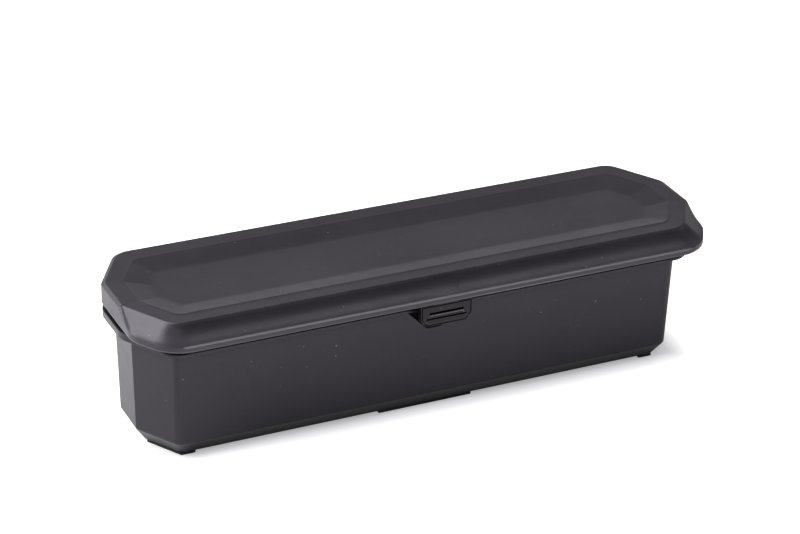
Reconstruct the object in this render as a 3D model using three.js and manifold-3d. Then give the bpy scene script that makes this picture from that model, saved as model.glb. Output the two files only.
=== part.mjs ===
// A long hinged accessory box of moulded plastic: a tub, a lid with a stacking tray and a snap latch.
// Millimetres, +Z up. X runs along the box, -Y is the front, and the origin is the middle of the base.

import * as THREE from 'three';
import { mergeVertices } from 'three/addons/utils/BufferGeometryUtils.js';
import Module from 'manifold-3d';

// Overall plan and height. The rim crease is the lid's upper outer edge, which every outline follows.
const rimLength = 361.2;
const rimWidth = 95;
const cornerCutAlong = 19;
const cornerCutAcross = 32.3;
const rimHeight = 93.2;

// Lid: skin, crease, tray, front flare and skirt.
const lidWall = 2.2;
const creaseRadius = 0.9;
const rimBand = 9.5;
const rimBandDrop = 0.4;
const traySlope = 15.3;
const trayDepth = 3.5;
const frontFlare = 11.9;
const cutFlare = 11.4;
const plainWallOut = 1.6;
const flareDrop = 8.9;
const endLedgeDrop = 1.35;
const ledgeRiseStart = 13.5;
const ledgeRiseRun = 19.5;
const cutStraightShare = 0.6;
const frontTurnRun = 12.4;
const skirtDepth = 12.8;
const skirtWall = 2;
const skirtEdge = 0.5;

// Rounding of the lid's outline at the corners, at the rim and at the skirt.
const rimFrontRound = 12;
const rimEndRound = 2.5;
const skirtFrontRound = 25;
const skirtEndRound = 22;
const skirtRearEndRound = 8;
const trayRound = 7;
const trayFloorRound = 2.5;
const trayEndRound = 1;

// Locating ribs under the lid, just inside the tub's mouth.
const ribThickness = 1.6;
const ribDepth = 4;
const ribClearance = 0.5;
const ribCornerGap = 3;

// Tub: skin, wall draft, foot bevel, rim flange and upstand.
const tubWall = 2.2;
const floorThickness = 2.2;
const footHeight = 1.8;
const mouthInset = 5.4;
const wallDraft = 2;
const bevelIn = 6.6;
const bevelUp = 9.5;
const lidSeatGap = 0.3;
const flangeTopDrop = 16.4;
const flangeDepth = 4.5;
const flangePlate = 2;
const flangeLip = 1.8;
const flangeEdge = 0.5;
const tubFrontRound = 6;
const tubEndRound = 1.2;
const tubInnerRound = 3;
const tubInnerEndRound = 0.8;
const flangeFrontRound = 14;
const flangeEndRound = 16;

// Finger scoop in the front wall behind the latch.
const scoopTopGap = 0.6;
const scoopHeight = 19.4;
const scoopTopWidth = 47;
const scoopBottomWidth = 9.4;
const scoopDepth = 7;
const scoopBackHeight = 13;
const scoopBackTopWidth = 32;
const scoopBackBottomWidth = 6;

// Foot pads.
const padWidth = 8;
const padInset = 0.6;
const middlePadLength = 60;
const cornerPadRun = 8.5;

// Rear hinges, one at each station.
const hingeSpacing = 220;
const hingeRadius = 3.5;
const hingePinRadius = 1.5;
const hingePinClearance = 0.25;
const hingeAxisDrop = 12.7;
const lidKnuckleLength = 14;
const tubKnuckleLength = 7;
const knuckleGap = 0.4;
const hingePinOverhang = 0.6;
const lidArmHeight = 5.6;

// Latch: a ribbed tab on a pin in the lid, with a hook under the tub's keeper.
const latchWidth = 32.6;
const latchThickness = 2.7;
const latchSetBack = 2.3;
const latchTopGap = 1.4;
const latchLength = 13.5;
const latchCornerIn = 3.9;
const latchCornerUp = 4.2;
const latchEdge = 0.35;
const gripWidth = 21.6;
const gripDrop = 5.7;
const gripGroove = 0.8;
const gripGrooveDepth = 0.9;
const gripRibRadius = 0.6;
const lipWidth = 25.6;
const lipGrooveDrop = 9.3;
const lipRadius = 1.5;
const lipDrop = 12;
const eyeRadius = 2.1;
const eyeClearance = 0.4;
const eyeSpan = 16;
const latchPinRadius = 1;
const latchPinClearance = 0.25;
const latchPinLength = 22;
const latchBoreEndGap = 0.5;
const pivotDrop = 11.2;
const pivotSetBack = 4.2;
const thinnedSkirt = 1.1;
const thinningTopGap = 0.4;
const latchSideClearance = 0.9;
const hookWidth = 17;
const hookBite = 1.2;
const hookGap = 0.4;
const hookDepth = 3.3;
const hookTipHeight = 0.9;

// Keeper on the tub's flange.
const keeperWidth = 20;
const keeperReach = 4.4;
const keeperTipHeight = 1.1;
const keeperTopIn = 2;

// Raised pad over the pivot, moulded into the lid's flare.
const pivotPadWidth = 26;
const pivotPadFillShare = 0.45;
const pivotPadMargin = 0.5;
const pivotPocketRear = 3;
const pivotPocketTop = 2.3;
const lugTop = 2.4;

// Torsion spring wound round the latch pin.
const springWire = 0.5;
const springRadius = 1.75;
const springWidth = 6.4;
const springTurns = 5;
const springGap = 7.8;
const springLegDown = 4.4;
const springLegBack = 2.4;
const springSeat = 0.15;
const springWindow = 0.6;

// Cutters run this far past what they cut, and joined forms sink this far into each other.
const overrun = 3;
const joinDepth = 0.6;

// Face counts.
const frontCornerSteps = 8;
const endCornerSteps = 5;
const leadSteps = 7;
const flareSteps = 9;
const creaseSteps = 3;
const pinFaces = 20;
const hingeFaces = 28;
const springSides = 5;
const springSteps = 8;

// Places worked out from the sizes above.
const halfLength = rimLength / 2;
const halfWidth = rimWidth / 2;
const cutLength = Math.hypot(cornerCutAlong, cornerCutAcross);
const cutAngle = Math.atan2(cornerCutAlong, cornerCutAcross);
const cutReach = halfLength * cornerCutAcross + (halfWidth - cornerCutAcross) * cornerCutAlong;
const cutOffset = cutReach / cutLength;
const skirtBottom = rimHeight - skirtDepth;
const frontFace = halfWidth + frontFlare;
const rearFace = halfWidth + plainWallOut;
const flangeTop = rimHeight - flangeTopDrop;
const flangeBottom = flangeTop - flangeDepth;
const flangeUnder = flangeTop - flangePlate;
const tubTop = rimHeight - rimBandDrop - lidWall - lidSeatGap;
const tubSlope = wallDraft / (flangeTop - footHeight - bevelUp);
const hingeAxis = { y: frontFace - hingeRadius, z: rimHeight - hingeAxisDrop };
const pivot = { y: -(frontFace - pivotSetBack), z: rimHeight - pivotDrop };
const latchFront = -(frontFace - latchSetBack);
const latchBack = latchFront + latchThickness;
const latchTop = skirtBottom - latchTopGap;
const latchBottom = latchTop - latchLength;
const keeperFront = -(halfWidth + plainWallOut + keeperReach);

const plastic = { color: 0x3c3c40, roughness: 0.55, metalness: 0 };
const tubPlastic = { color: 0x333337, roughness: 0.5, metalness: 0 };
const latchPlastic = { color: 0x1d1d20, roughness: 0.35, metalness: 0 };
const padRubber = { color: 0x141416, roughness: 0.85, metalness: 0 };
const steel = { color: 0x9a9da2, roughness: 0.3, metalness: 1 };

const wasm = await Module();
wasm.setup();

// A closed geometry as a solid that can be joined and cut.
function solid(geometry) {
  const bare = new THREE.BufferGeometry();
  bare.setAttribute('position', geometry.getAttribute('position'));
  bare.setIndex(geometry.index);
  const merged = mergeVertices(bare);
  const vertProperties = new Float32Array(merged.getAttribute('position').array);
  const triVerts = new Uint32Array(merged.index.array);
  return new wasm.Manifold(new wasm.Mesh({ numProp: 3, vertProperties, triVerts }));
}

// A finished solid as a geometry.
function geometryOf(body) {
  const { vertProperties, triVerts } = body.getMesh();
  const geometry = new THREE.BufferGeometry();
  geometry.setAttribute('position', new THREE.BufferAttribute(vertProperties, 3));
  geometry.setIndex(new THREE.BufferAttribute(triVerts, 1));
  geometry.computeVertexNormals();
  return geometry;
}

function part(name, body, finish) {
  const mesh = new THREE.Mesh(geometryOf(body), new THREE.MeshStandardMaterial(finish));
  mesh.name = name;
  return mesh;
}

const mix = THREE.MathUtils.lerp;

// The point where two outline sides meet, both moved inward by an inset.
function meet(first, second, inset) {
  const turn = first.nx * second.ny - first.ny * second.nx;
  const a = first.offset - inset;
  const b = second.offset - inset;
  return new THREE.Vector2((a * second.ny - b * first.ny) / turn, (first.nx * b - second.nx * a) / turn);
}

function side(angle, offset) {
  return { angle, offset, nx: Math.cos(angle), ny: Math.sin(angle) };
}

// The eight sides of a level, counter-clockwise from the front. Each stands off from the rim crease.
function levelSides(level) {
  const quarter = Math.PI / 2;
  const half = Math.PI;
  return [
    side(-quarter, halfWidth + level.front),
    side(-cutAngle, cutOffset + level.cut),
    side(0, halfLength + level.end),
    side(cutAngle, cutOffset + level.rearCut),
    side(quarter, halfWidth + level.rear),
    side(half - cutAngle, cutOffset + level.rearCut),
    side(half, halfLength + level.end),
    side(half + cutAngle, cutOffset + level.cut),
  ];
}

// Points from the end of a corner's arc up the end of the box, as far as the ledge starts to fall.
function leadPoints(place, shares) {
  return shares.map((share) => new THREE.Vector3(place.x, mix(place.y, -ledgeRiseStart, share), place.z));
}

// A level's outline as points, with every corner an arc. The corners between the front cuts and
// the ends have more points, which a lead lays along the end.
function outline(level, lead = false) {
  const sides = levelSides(level);
  const { frontRound, endRound, rearEndRound, rearRound } = level;
  const rounds = [frontRound, endRound, rearEndRound, rearRound];
  rounds.push(rearRound, rearEndRound, endRound, frontRound);
  return sides.flatMap((current, index) => {
    const next = sides[(index + 1) % sides.length];
    const sweep = (next.angle - current.angle + Math.PI * 2) % (Math.PI * 2);
    const atLeft = index === sides.length - 2;
    const extra = index === 1 || atLeft ? leadSteps : 0;
    const plain = sweep > cutAngle * 1.5 ? frontCornerSteps : endCornerSteps;
    const steps = lead ? plain : plain + extra;
    const radius = rounds[index];
    const centre = meet(current, next, radius);
    const corner = Array.from({ length: steps + 1 }, (_, step) => {
      const angle = current.angle + (sweep * step) / steps;
      const x = centre.x + radius * Math.cos(angle);
      const y = centre.y + radius * Math.sin(angle);
      return new THREE.Vector3(x, y, level.z);
    });
    const shares = Array.from({ length: lead ? extra : 0 }, (_, step) => (step + 1) / extra);
    if (atLeft) return [...leadPoints(corner[0], shares.reverse()), ...corner];
    return [...corner, ...leadPoints(corner[corner.length - 1], shares)];
  });
}

// A closed skin through a series of outlines, capped at the first and the last.
function loft(rings) {
  const count = rings[0].length;
  const index = [];
  const last = (rings.length - 1) * count;
  for (let step = 1; step < count - 1; step += 1) {
    index.push(0, step, step + 1);
    index.push(last, last + step + 1, last + step);
  }
  for (let row = 0; row < rings.length - 1; row += 1) {
    for (let step = 0; step < count; step += 1) {
      const here = row * count + step;
      const next = row * count + ((step + 1) % count);
      index.push(here, here + count, next + count);
      index.push(here, next + count, next);
    }
  }
  const geometry = new THREE.BufferGeometry().setFromPoints(rings.flat());
  geometry.setIndex(index);
  return solid(geometry);
}

// A profile in Y and Z, run along X between two places.
function alongX(shape, from, to) {
  const geometry = new THREE.ExtrudeGeometry(shape, {
    depth: to - from,
    bevelEnabled: false,
    curveSegments: pinFaces,
  });
  const x = new THREE.Vector3(1, 0, 0);
  const y = new THREE.Vector3(0, 1, 0);
  const z = new THREE.Vector3(0, 0, 1);
  geometry.applyMatrix4(new THREE.Matrix4().makeBasis(y, z, x));
  return solid(toIndexed(geometry.translate(from, 0, 0)));
}

function toIndexed(geometry) {
  geometry.deleteAttribute('normal');
  geometry.deleteAttribute('uv');
  return mergeVertices(geometry);
}

function polygon(points) {
  return new THREE.Shape(points.map(([across, up]) => new THREE.Vector2(across, up)));
}

function block(x0, x1, y0, y1, z0, z1) {
  return alongX(polygon([[y0, z0], [y1, z0], [y1, z1], [y0, z1]]), x0, x1);
}

// A round bar along X, centred on a place in Y and Z.
function barX(radius, x0, x1, centre, faces) {
  const geometry = new THREE.CylinderGeometry(radius, radius, x1 - x0, faces);
  geometry.rotateZ(Math.PI / 2);
  return solid(toIndexed(geometry.translate((x0 + x1) / 2, centre.y, centre.z)));
}

// A pin along X with chamfered ends.
function pinX(radius, length, centre, faces) {
  const chamfer = radius / 3;
  const half = length / 2;
  const profile = [[0, -half], [radius - chamfer, -half], [radius, chamfer - half]];
  profile.push([radius, half - chamfer], [radius - chamfer, half], [0, half]);
  const points = profile.map(([across, up]) => new THREE.Vector2(across, up));
  const geometry = new THREE.LatheGeometry(points, faces);
  geometry.rotateZ(Math.PI / 2);
  return solid(toIndexed(geometry.translate(centre.x, centre.y, centre.z)));
}

// The touching point on a circle of the straight line from a place outside it.
function tangentAngle(centre, radius, place, sense) {
  const away = Math.hypot(place[0] - centre.y, place[1] - centre.z);
  const toward = Math.atan2(place[1] - centre.z, place[0] - centre.y);
  return toward + sense * Math.acos(radius / away);
}

// A round boss joined by straight tangents to a lower and an upper place in front of it.
function bossWeb(centre, radius, lower, upper) {
  const start = tangentAngle(centre, radius, lower, 1);
  const end = tangentAngle(centre, radius, upper, -1);
  const shape = new THREE.Shape();
  shape.moveTo(upper[0], upper[1]);
  shape.lineTo(lower[0], lower[1]);
  shape.absarc(centre.y, centre.z, radius, start, end, false);
  shape.closePath();
  return shape;
}

// A level at an even distance inside the rim crease.
function evenLevel(inset, z, round, endRound) {
  return {
    z,
    front: -inset,
    cut: -inset,
    end: -inset,
    rear: -inset,
    rearCut: -inset,
    frontRound: round,
    endRound,
    rearEndRound: endRound,
    rearRound: round,
  };
}

function ease(share) {
  return THREE.MathUtils.smoothstep(share, 0, 1);
}

// How far round the corner from the plain end wall to the front cut a place is.
function endTurnShare(y) {
  return ease((-ledgeRiseStart - y) / ledgeRiseRun);
}

// The ledge runs level along the front, and climbs the end wall in an S to the rim's chamfer.
function ledgeDrop(y) {
  return mix(endLedgeDrop, flareDrop, endTurnShare(y));
}

// How far the flare is a straight chamfer: all of it at the ends and the rear, none at the front.
function straightnessShare(y) {
  const frontShare = ease((frontTurnRun - frontFace - y) / frontTurnRun);
  return mix(1, cutStraightShare, endTurnShare(y)) - cutStraightShare * frontShare;
}

function wallLevel(z, inset = 0, roundLoss = 0) {
  return {
    z,
    front: frontFlare - inset,
    cut: cutFlare - inset,
    end: plainWallOut - inset,
    rear: plainWallOut - inset,
    rearCut: plainWallOut - inset,
    frontRound: skirtFrontRound - roundLoss,
    endRound: skirtEndRound - roundLoss,
    rearEndRound: skirtRearEndRound - roundLoss,
    rearRound: rimFrontRound - roundLoss,
  };
}

// The outward directions of an outline's points, from the same outline drawn inside it.
function outwards(ring, inside) {
  return ring.map((point, index) => point.clone().sub(inside[index]).normalize());
}

// Each station round the lid: its crease and wall places, and what shapes the flare between them.
function flareStations() {
  const crease = outline(evenLevel(0, 0, rimFrontRound, rimEndRound));
  const insideRounds = [rimFrontRound - creaseRadius, rimEndRound - creaseRadius];
  const inside = outline(evenLevel(creaseRadius, 0, ...insideRounds));
  const walls = wallRing(rimHeight);
  const creaseOut = outwards(crease, inside);
  const wallOut = outwards(walls, wallRing(rimHeight, skirtWall));
  return walls.map((wall, index) => {
    const place = crease[index];
    const reach = wall.distanceTo(place);
    const straight = straightnessShare(wall.y);
    const drop = ledgeDrop(wall.y);
    const slope = (reach * straight) / (drop * mix(Math.PI / 2, 1, straight));
    const turnEnd = Math.PI / 2 - Math.atan(slope);
    const start = creaseRadius * (1 - Math.cos(turnEnd));
    const ways = { creaseOut: creaseOut[index], wallOut: wallOut[index] };
    return { place, wall, ...ways, reach, straight, fall: drop - start, start, turnEnd };
  });
}

// A ring of the crease's round, from the top of the rim towards the flare.
function creaseRing(share) {
  return flareStations().map(({ place, creaseOut, turnEnd }) => {
    const turn = turnEnd * share;
    const out = creaseRadius * (Math.sin(turn) - Math.sin(turnEnd));
    const down = creaseRadius * (1 - Math.cos(turn));
    return place.clone().addScaledVector(creaseOut, out).setZ(rimHeight - down);
  });
}

// A ring of the flare's skin.
function flareRing(share) {
  const turn = (Math.PI / 2) * share;
  return flareStations().map(({ place, wall, straight, fall, start }) => {
    const across = mix(1 - Math.cos(turn), share, straight);
    const down = start + fall * mix(Math.sin(turn), share, straight);
    return place.clone().lerp(wall, across).setZ(rimHeight - down);
  });
}

// A ring of the flare's inner skin, a wall's thickness square to the outer one and clear of the skirt.
function innerFlareRing(share) {
  const turn = (Math.PI / 2) * share;
  const outer = flareRing(share);
  return flareStations().map(({ wall, creaseOut, wallOut, reach, straight, fall }, index) => {
    const along = reach * mix((Math.PI / 2) * Math.sin(turn), 1, straight);
    const sink = fall * mix((Math.PI / 2) * Math.cos(turn), 1, straight);
    const steep = Math.hypot(along, sink);
    const point = outer[index];
    const fromWall = wall.clone().sub(point).setZ(0).dot(wallOut);
    const inset = Math.max((lidWall * sink) / steep, skirtWall - fromWall);
    const z = Math.min(point.z - (lidWall * along) / steep, rimHeight - rimBandDrop - lidWall);
    return point.addScaledVector(creaseOut.clone().lerp(wallOut, share).normalize(), -inset).setZ(z);
  });
}

// A ring of the skirt's wall at an even depth.
function wallRing(drop, inset = 0) {
  return outline(wallLevel(rimHeight - drop, inset, inset), true);
}

// The ring of the skirt's wall that follows the ledge, just below it.
function ledgeRing() {
  const stations = flareStations();
  return wallRing(0).map((point, index) => {
    const { fall, start } = stations[index];
    return point.setZ(rimHeight - start - fall - skirtEdge);
  });
}

// The points of a ring moved towards another ring's by a length, at most to their middle.
function partWay(ring, other, length) {
  return ring.map((point, index) => {
    const gap = Math.max(point.distanceTo(other[index]), length * 2);
    return point.clone().lerp(other[index], length / gap);
  });
}

function steppedRings(steps, ringAt) {
  return Array.from({ length: steps }, (_, step) => ringAt((step + 1) / steps));
}

// The lid's skin, from the tray floor out over the rim, down the skirt and back up inside.
function lidShell() {
  const trayEdge = rimBand + traySlope;
  const floorZ = rimHeight - trayDepth;
  const bandZ = rimHeight - rimBandDrop;
  const ledge = flareRing(1);
  const foot = wallRing(skirtDepth);
  const innerFoot = wallRing(skirtDepth, skirtWall);
  const rings = [
    outline(evenLevel(trayEdge, floorZ, trayFloorRound, trayEndRound)),
    outline(evenLevel(rimBand, bandZ, trayRound, trayEndRound)),
    creaseRing(0),
    ...steppedRings(creaseSteps, creaseRing),
    ...steppedRings(flareSteps, flareRing).slice(0, -1),
    partWay(ledge, flareRing(1 - 1 / flareSteps), skirtEdge),
    ledgeRing(),
    partWay(foot, ledgeRing(), skirtEdge),
    partWay(foot, innerFoot, skirtEdge),
    innerFoot,
    innerFlareRing(1),
    ...steppedRings(flareSteps, (share) => innerFlareRing(1 - share)),
    outline(evenLevel(rimBand + lidWall, bandZ - lidWall, trayRound, trayEndRound)),
    outline(evenLevel(trayEdge + lidWall / 2, floorZ - lidWall, trayFloorRound, trayEndRound)),
  ];
  return loft(rings);
}

// The ribs that drop into the tub's mouth at the front and the ends.
function lidRibs() {
  const inset = mouthInset + tubWall + ribClearance;
  const frontY = -(halfWidth - inset);
  const endX = halfLength - inset;
  const top = rimHeight - rimBandDrop - lidWall + joinDepth;
  const bottom = tubTop - ribDepth;
  const [long, cut, end] = levelSides(evenLevel(inset, 0, 0, 0));
  const halfRib = meet(long, cut, 0).x - ribCornerGap;
  const halfEnd = -meet(cut, end, 0).y - ribCornerGap;
  const front = block(-halfRib, halfRib, frontY, frontY + ribThickness, bottom, top);
  const right = block(endX - ribThickness, endX, -halfEnd, halfEnd, bottom, top);
  const left = block(-endX, ribThickness - endX, -halfEnd, halfEnd, bottom, top);
  return front.add(right).add(left);
}

function lidArm(station) {
  const wall = rearFace - joinDepth;
  const lower = [wall, skirtBottom + lidSeatGap];
  const web = bossWeb(hingeAxis, hingeRadius, lower, [wall, skirtBottom + lidArmHeight]);
  const half = lidKnuckleLength / 2;
  return alongX(web, station - half, station + half);
}

function hingeBore(station) {
  const reach = lidKnuckleLength / 2 + knuckleGap + tubKnuckleLength + overrun;
  const radius = hingePinRadius + hingePinClearance;
  return barX(radius, station - reach, station + reach, hingeAxis, hingeFaces);
}

// The pad's section: the flare's hollow, partly filled towards the straight line across it.
function pivotPadSection() {
  const steps = flareSteps;
  const start = creaseRadius;
  const reach = frontFlare - pivotPadMargin;
  const upper = [];
  for (let step = 0; step <= steps; step += 1) {
    const turn = (Math.PI / 2) * (step / steps);
    const share = 1 - Math.cos(turn);
    const line = step / steps;
    const out = reach * mix(share, line, pivotPadFillShare);
    const fall = (flareDrop - start) * mix(Math.sin(turn), line, pivotPadFillShare);
    upper.push([-(halfWidth + out), rimHeight - start - fall]);
  }
  const lower = upper.map(([y, z]) => [y + joinDepth, z - lidWall]).reverse();
  return polygon([...upper, ...lower]);
}

// The lugs either side of the latch's eye, which carry its pin.
function pivotLugs() {
  const outer = pivotPadWidth / 2;
  const lug = block(-outer, outer, pivot.y - eyeRadius, pivot.y + eyeRadius, pivot.z, pivot.z + lugTop);
  return lug.add(barX(eyeRadius, -outer, outer, pivot, hingeFaces));
}

// The room for the eye and the spring, open below and behind.
function pivotPocket() {
  const half = eyeSpan / 2 + eyeClearance;
  const round = barX(eyeRadius + eyeClearance, -half, half, pivot, hingeFaces);
  const skirtInside = -(frontFace - thinnedSkirt);
  const rear = pivot.y + pivotPocketRear;
  const below = block(-half, half, skirtInside, rear, skirtBottom - overrun, pivot.z);
  const behind = block(-half, half, pivot.y, rear, pivot.z, pivot.z + pivotPocketTop);
  return round.add(below).add(behind);
}

// The skirt is thinned inside so that the tab can swing.
function skirtThinning() {
  const half = latchWidth / 2 + latchSideClearance;
  const inside = -(frontFace - thinnedSkirt);
  const behind = -(frontFace - skirtWall) + joinDepth;
  return block(-half, half, inside, behind, skirtBottom - overrun, pivot.z - eyeRadius + thinningTopGap);
}

function lidBody() {
  const halfPad = pivotPadWidth / 2;
  const halfPin = latchPinLength / 2 + latchBoreEndGap;
  const pinRoom = latchPinRadius + latchPinClearance;
  let body = lidShell().add(lidRibs());
  body = body.add(alongX(pivotPadSection(), -halfPad, halfPad));
  body = body.add(pivotLugs());
  for (const station of hingeStations()) {
    body = body.add(lidArm(station)).subtract(hingeBore(station));
  }
  body = body.subtract(pivotPocket()).subtract(skirtThinning());
  return body.subtract(barX(pinRoom, -halfPin, halfPin, pivot, pinFaces));
}

function hingeStations() {
  return [-hingeSpacing / 2, hingeSpacing / 2];
}

// A wall level of the tub, with its draft. The skin is zero outside and the wall's thickness inside.
function tubWallLevel(z, skin) {
  const inset = mouthInset + tubSlope * (flangeTop - Math.min(z, flangeTop)) + skin;
  const round = skin > 0 ? tubInnerRound : tubFrontRound;
  return evenLevel(inset, z, round, skin > 0 ? tubInnerEndRound : tubEndRound);
}

function flangeLevel(out, z) {
  return evenLevel(-out, z, flangeFrontRound, flangeEndRound);
}

// The tub's skin, from the floor up inside, over the upstand, round the flange and down to the base.
function tubShell() {
  const bevelTop = footHeight + bevelUp;
  const slant = Math.hypot(bevelIn, bevelUp);
  const baseInset = mouthInset + wallDraft + bevelIn;
  const floorZ = footHeight + floorThickness;
  const innerBase = baseInset + (tubWall * bevelUp) / slant;
  const innerBaseZ = footHeight + (tubWall * bevelIn) / slant;
  const floorInset = innerBase - ((floorZ - innerBaseZ) * bevelIn) / bevelUp;
  const innerBevelTop = floorZ + ((floorInset - mouthInset - wallDraft - tubWall) * bevelUp) / bevelIn;
  const lipInside = plainWallOut - flangeLip;
  const levels = [
    evenLevel(floorInset, floorZ, tubInnerRound, tubInnerEndRound),
    tubWallLevel(innerBevelTop, tubWall),
    tubWallLevel(tubTop, tubWall),
    tubWallLevel(tubTop, 0),
    tubWallLevel(flangeTop, 0),
    flangeLevel(plainWallOut - flangeEdge, flangeTop),
    flangeLevel(plainWallOut, flangeTop - flangeEdge),
    flangeLevel(plainWallOut, flangeBottom),
    flangeLevel(lipInside, flangeBottom),
    flangeLevel(lipInside, flangeUnder),
    tubWallLevel(flangeUnder, 0),
    tubWallLevel(bevelTop, 0),
    evenLevel(baseInset, footHeight, tubFrontRound, tubEndRound),
  ];
  return loft(levels.map((level) => outline(level)));
}

// A tapered four-sided plug along Y, from a front outline to a back one.
function taperedPlug(front, back) {
  const ring = ({ y, top, bottom, topWidth, bottomWidth }) => [
    new THREE.Vector3(-bottomWidth / 2, y, bottom),
    new THREE.Vector3(bottomWidth / 2, y, bottom),
    new THREE.Vector3(topWidth / 2, y, top),
    new THREE.Vector3(-topWidth / 2, y, top),
  ];
  return loft([ring(front), ring(back)]);
}

// The scoop's plug, grown by a skin for the bulge that it makes inside the tub.
function scoopPlug(skin, frontY) {
  const top = flangeUnder - scoopTopGap;
  const wallY = -(halfWidth - mouthInset);
  const ends = [
    [wallY, scoopHeight, scoopTopWidth, scoopBottomWidth],
    [wallY + scoopDepth, scoopBackHeight, scoopBackTopWidth, scoopBackBottomWidth],
  ];
  const at = (share) => ({
    y: mix(ends[0][0], ends[1][0], share),
    top: top + skin,
    bottom: top - mix(ends[0][1], ends[1][1], share) - skin,
    topWidth: mix(ends[0][2], ends[1][2], share) + skin * 2,
    bottomWidth: mix(ends[0][3], ends[1][3], share) + skin * 2,
  });
  return taperedPlug(at((frontY - wallY) / scoopDepth), at((scoopDepth + skin) / scoopDepth));
}

function tubEars(station) {
  const wall = rearFace - joinDepth;
  const web = bossWeb(hingeAxis, hingeRadius, [wall, flangeBottom], [wall, flangeTop - flangeEdge]);
  const inner = lidKnuckleLength / 2 + knuckleGap;
  const outer = inner + tubKnuckleLength;
  const right = alongX(web, station + inner, station + outer);
  return right.add(alongX(web, station - outer, station - inner));
}

function keeper() {
  const wall = -(halfWidth + plainWallOut - joinDepth);
  const section = polygon([
    [wall, flangeBottom],
    [wall, flangeTop - flangeEdge],
    [keeperFront + keeperTopIn, flangeTop - flangeEdge],
    [keeperFront, flangeBottom + keeperTipHeight],
    [keeperFront, flangeBottom],
  ]);
  return alongX(section, -keeperWidth / 2, keeperWidth / 2);
}

function tubBody() {
  const wallY = -(halfWidth - mouthInset);
  let body = tubShell().add(scoopPlug(tubWall, wallY + tubWall / 2));
  body = body.subtract(scoopPlug(0, wallY - overrun));
  body = body.add(keeper());
  for (const station of hingeStations()) {
    body = body.add(tubEars(station)).subtract(hingeBore(station));
  }
  return body;
}

// A flat pad standing on the ground, up to the tub's base.
function padBody(points) {
  const shape = new THREE.Shape(points);
  const geometry = new THREE.ExtrudeGeometry(shape, { depth: footHeight, bevelEnabled: false });
  return solid(toIndexed(geometry));
}

function padSides(inset) {
  const base = mouthInset + wallDraft + bevelIn;
  return levelSides(evenLevel(base + inset, 0, 0, 0));
}

function middlePad(sense) {
  const reach = halfWidth - mouthInset - wallDraft - bevelIn - padInset;
  const half = middlePadLength / 2;
  const near = sense * (reach - padWidth);
  const far = sense * reach;
  const points = [[-half, Math.min(near, far)], [half, Math.min(near, far)]];
  points.push([half, Math.max(near, far)], [-half, Math.max(near, far)]);
  return padBody(points.map(([x, y]) => new THREE.Vector2(x, y)));
}

// A band along a corner cut, turned onto the long side at one end.
function cornerPad(senseX, senseY) {
  const [long, cut, end] = padSides(padInset);
  const outerTurn = meet(long, cut, 0);
  const outerEnd = meet(cut, end, 0);
  const innerTurn = meet(long, cut, padWidth);
  const endDrop = padWidth / Math.cos(cutAngle);
  const points = [
    new THREE.Vector2(outerTurn.x - cornerPadRun, outerTurn.y),
    outerTurn,
    outerEnd,
    new THREE.Vector2(outerEnd.x - endDrop, outerEnd.y),
    innerTurn,
    new THREE.Vector2(outerTurn.x - cornerPadRun, innerTurn.y),
  ];
  const placed = points.map((point) => new THREE.Vector2(point.x * senseX, -point.y * senseY));
  return padBody(senseX * senseY > 0 ? placed.reverse() : placed);
}

// The tab's outline, square above and cut at the lower corners.
function latchOutline(inset) {
  const half = latchWidth / 2 - inset;
  const foot = half - latchCornerIn;
  return new THREE.Shape([
    new THREE.Vector2(-foot, latchBottom + inset),
    new THREE.Vector2(foot, latchBottom + inset),
    new THREE.Vector2(half, latchBottom + latchCornerUp),
    new THREE.Vector2(half, latchTop - inset),
    new THREE.Vector2(-half, latchTop - inset),
    new THREE.Vector2(-half, latchBottom + latchCornerUp),
  ]);
}

function latchPlate() {
  const geometry = new THREE.ExtrudeGeometry(latchOutline(latchEdge), {
    depth: latchThickness - latchEdge * 2,
    bevelThickness: latchEdge,
    bevelSize: latchEdge,
    bevelSegments: 2,
  });
  geometry.rotateX(Math.PI / 2);
  return solid(toIndexed(geometry.translate(0, latchBack - latchEdge, 0)));
}

// The eyes round the pin and the neck that joins them to the tab.
function latchNeck() {
  const half = eyeSpan / 2;
  const eye = barX(eyeRadius, -half, half, pivot, hingeFaces);
  const neck = block(-half, half, latchFront, latchBack, latchTop - joinDepth, pivot.z);
  const window = barX(eyeRadius + springWindow, -springGap / 2, springGap / 2, pivot, hingeFaces);
  return eye.add(neck).subtract(window);
}

function latchHook() {
  const top = flangeBottom - hookGap;
  const tip = keeperFront + hookBite;
  const root = latchBack - joinDepth;
  const section = polygon([[root, top], [root, top - hookDepth], [tip, top - hookTipHeight], [tip, top]]);
  return alongX(section, -hookWidth / 2, hookWidth / 2);
}

// The grip on the tab's face: a groove over a rib, and a second groove over the curled lower lip.
function latchBody() {
  const halfGrip = gripWidth / 2;
  const halfLip = lipWidth / 2;
  const grooveZ = latchTop - gripDrop;
  const lipGrooveZ = latchTop - lipGrooveDrop;
  const floor = latchFront + gripGrooveDepth;
  const front = latchFront - overrun;
  const groove = block(-halfGrip, halfGrip, front, floor, grooveZ, grooveZ + gripGroove);
  const lipGroove = block(-halfLip, halfLip, front, floor, lipGrooveZ, lipGrooveZ + gripGroove);
  const ribPlace = { y: latchFront, z: grooveZ - gripRibRadius };
  const rib = barX(gripRibRadius, -halfGrip, halfGrip, ribPlace, pinFaces);
  const lipPlace = { y: latchFront + lipRadius / 2, z: latchTop - lipDrop };
  const lip = barX(lipRadius, -halfLip + lipRadius / 2, halfLip - lipRadius / 2, lipPlace, pinFaces);
  const bore = barX(latchPinRadius + latchPinClearance, -eyeSpan, eyeSpan, pivot, pinFaces);
  const plain = latchPlate().add(latchNeck()).add(latchHook());
  return plain.subtract(groove).subtract(lipGroove).add(rib).add(lip).subtract(bore);
}

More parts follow.
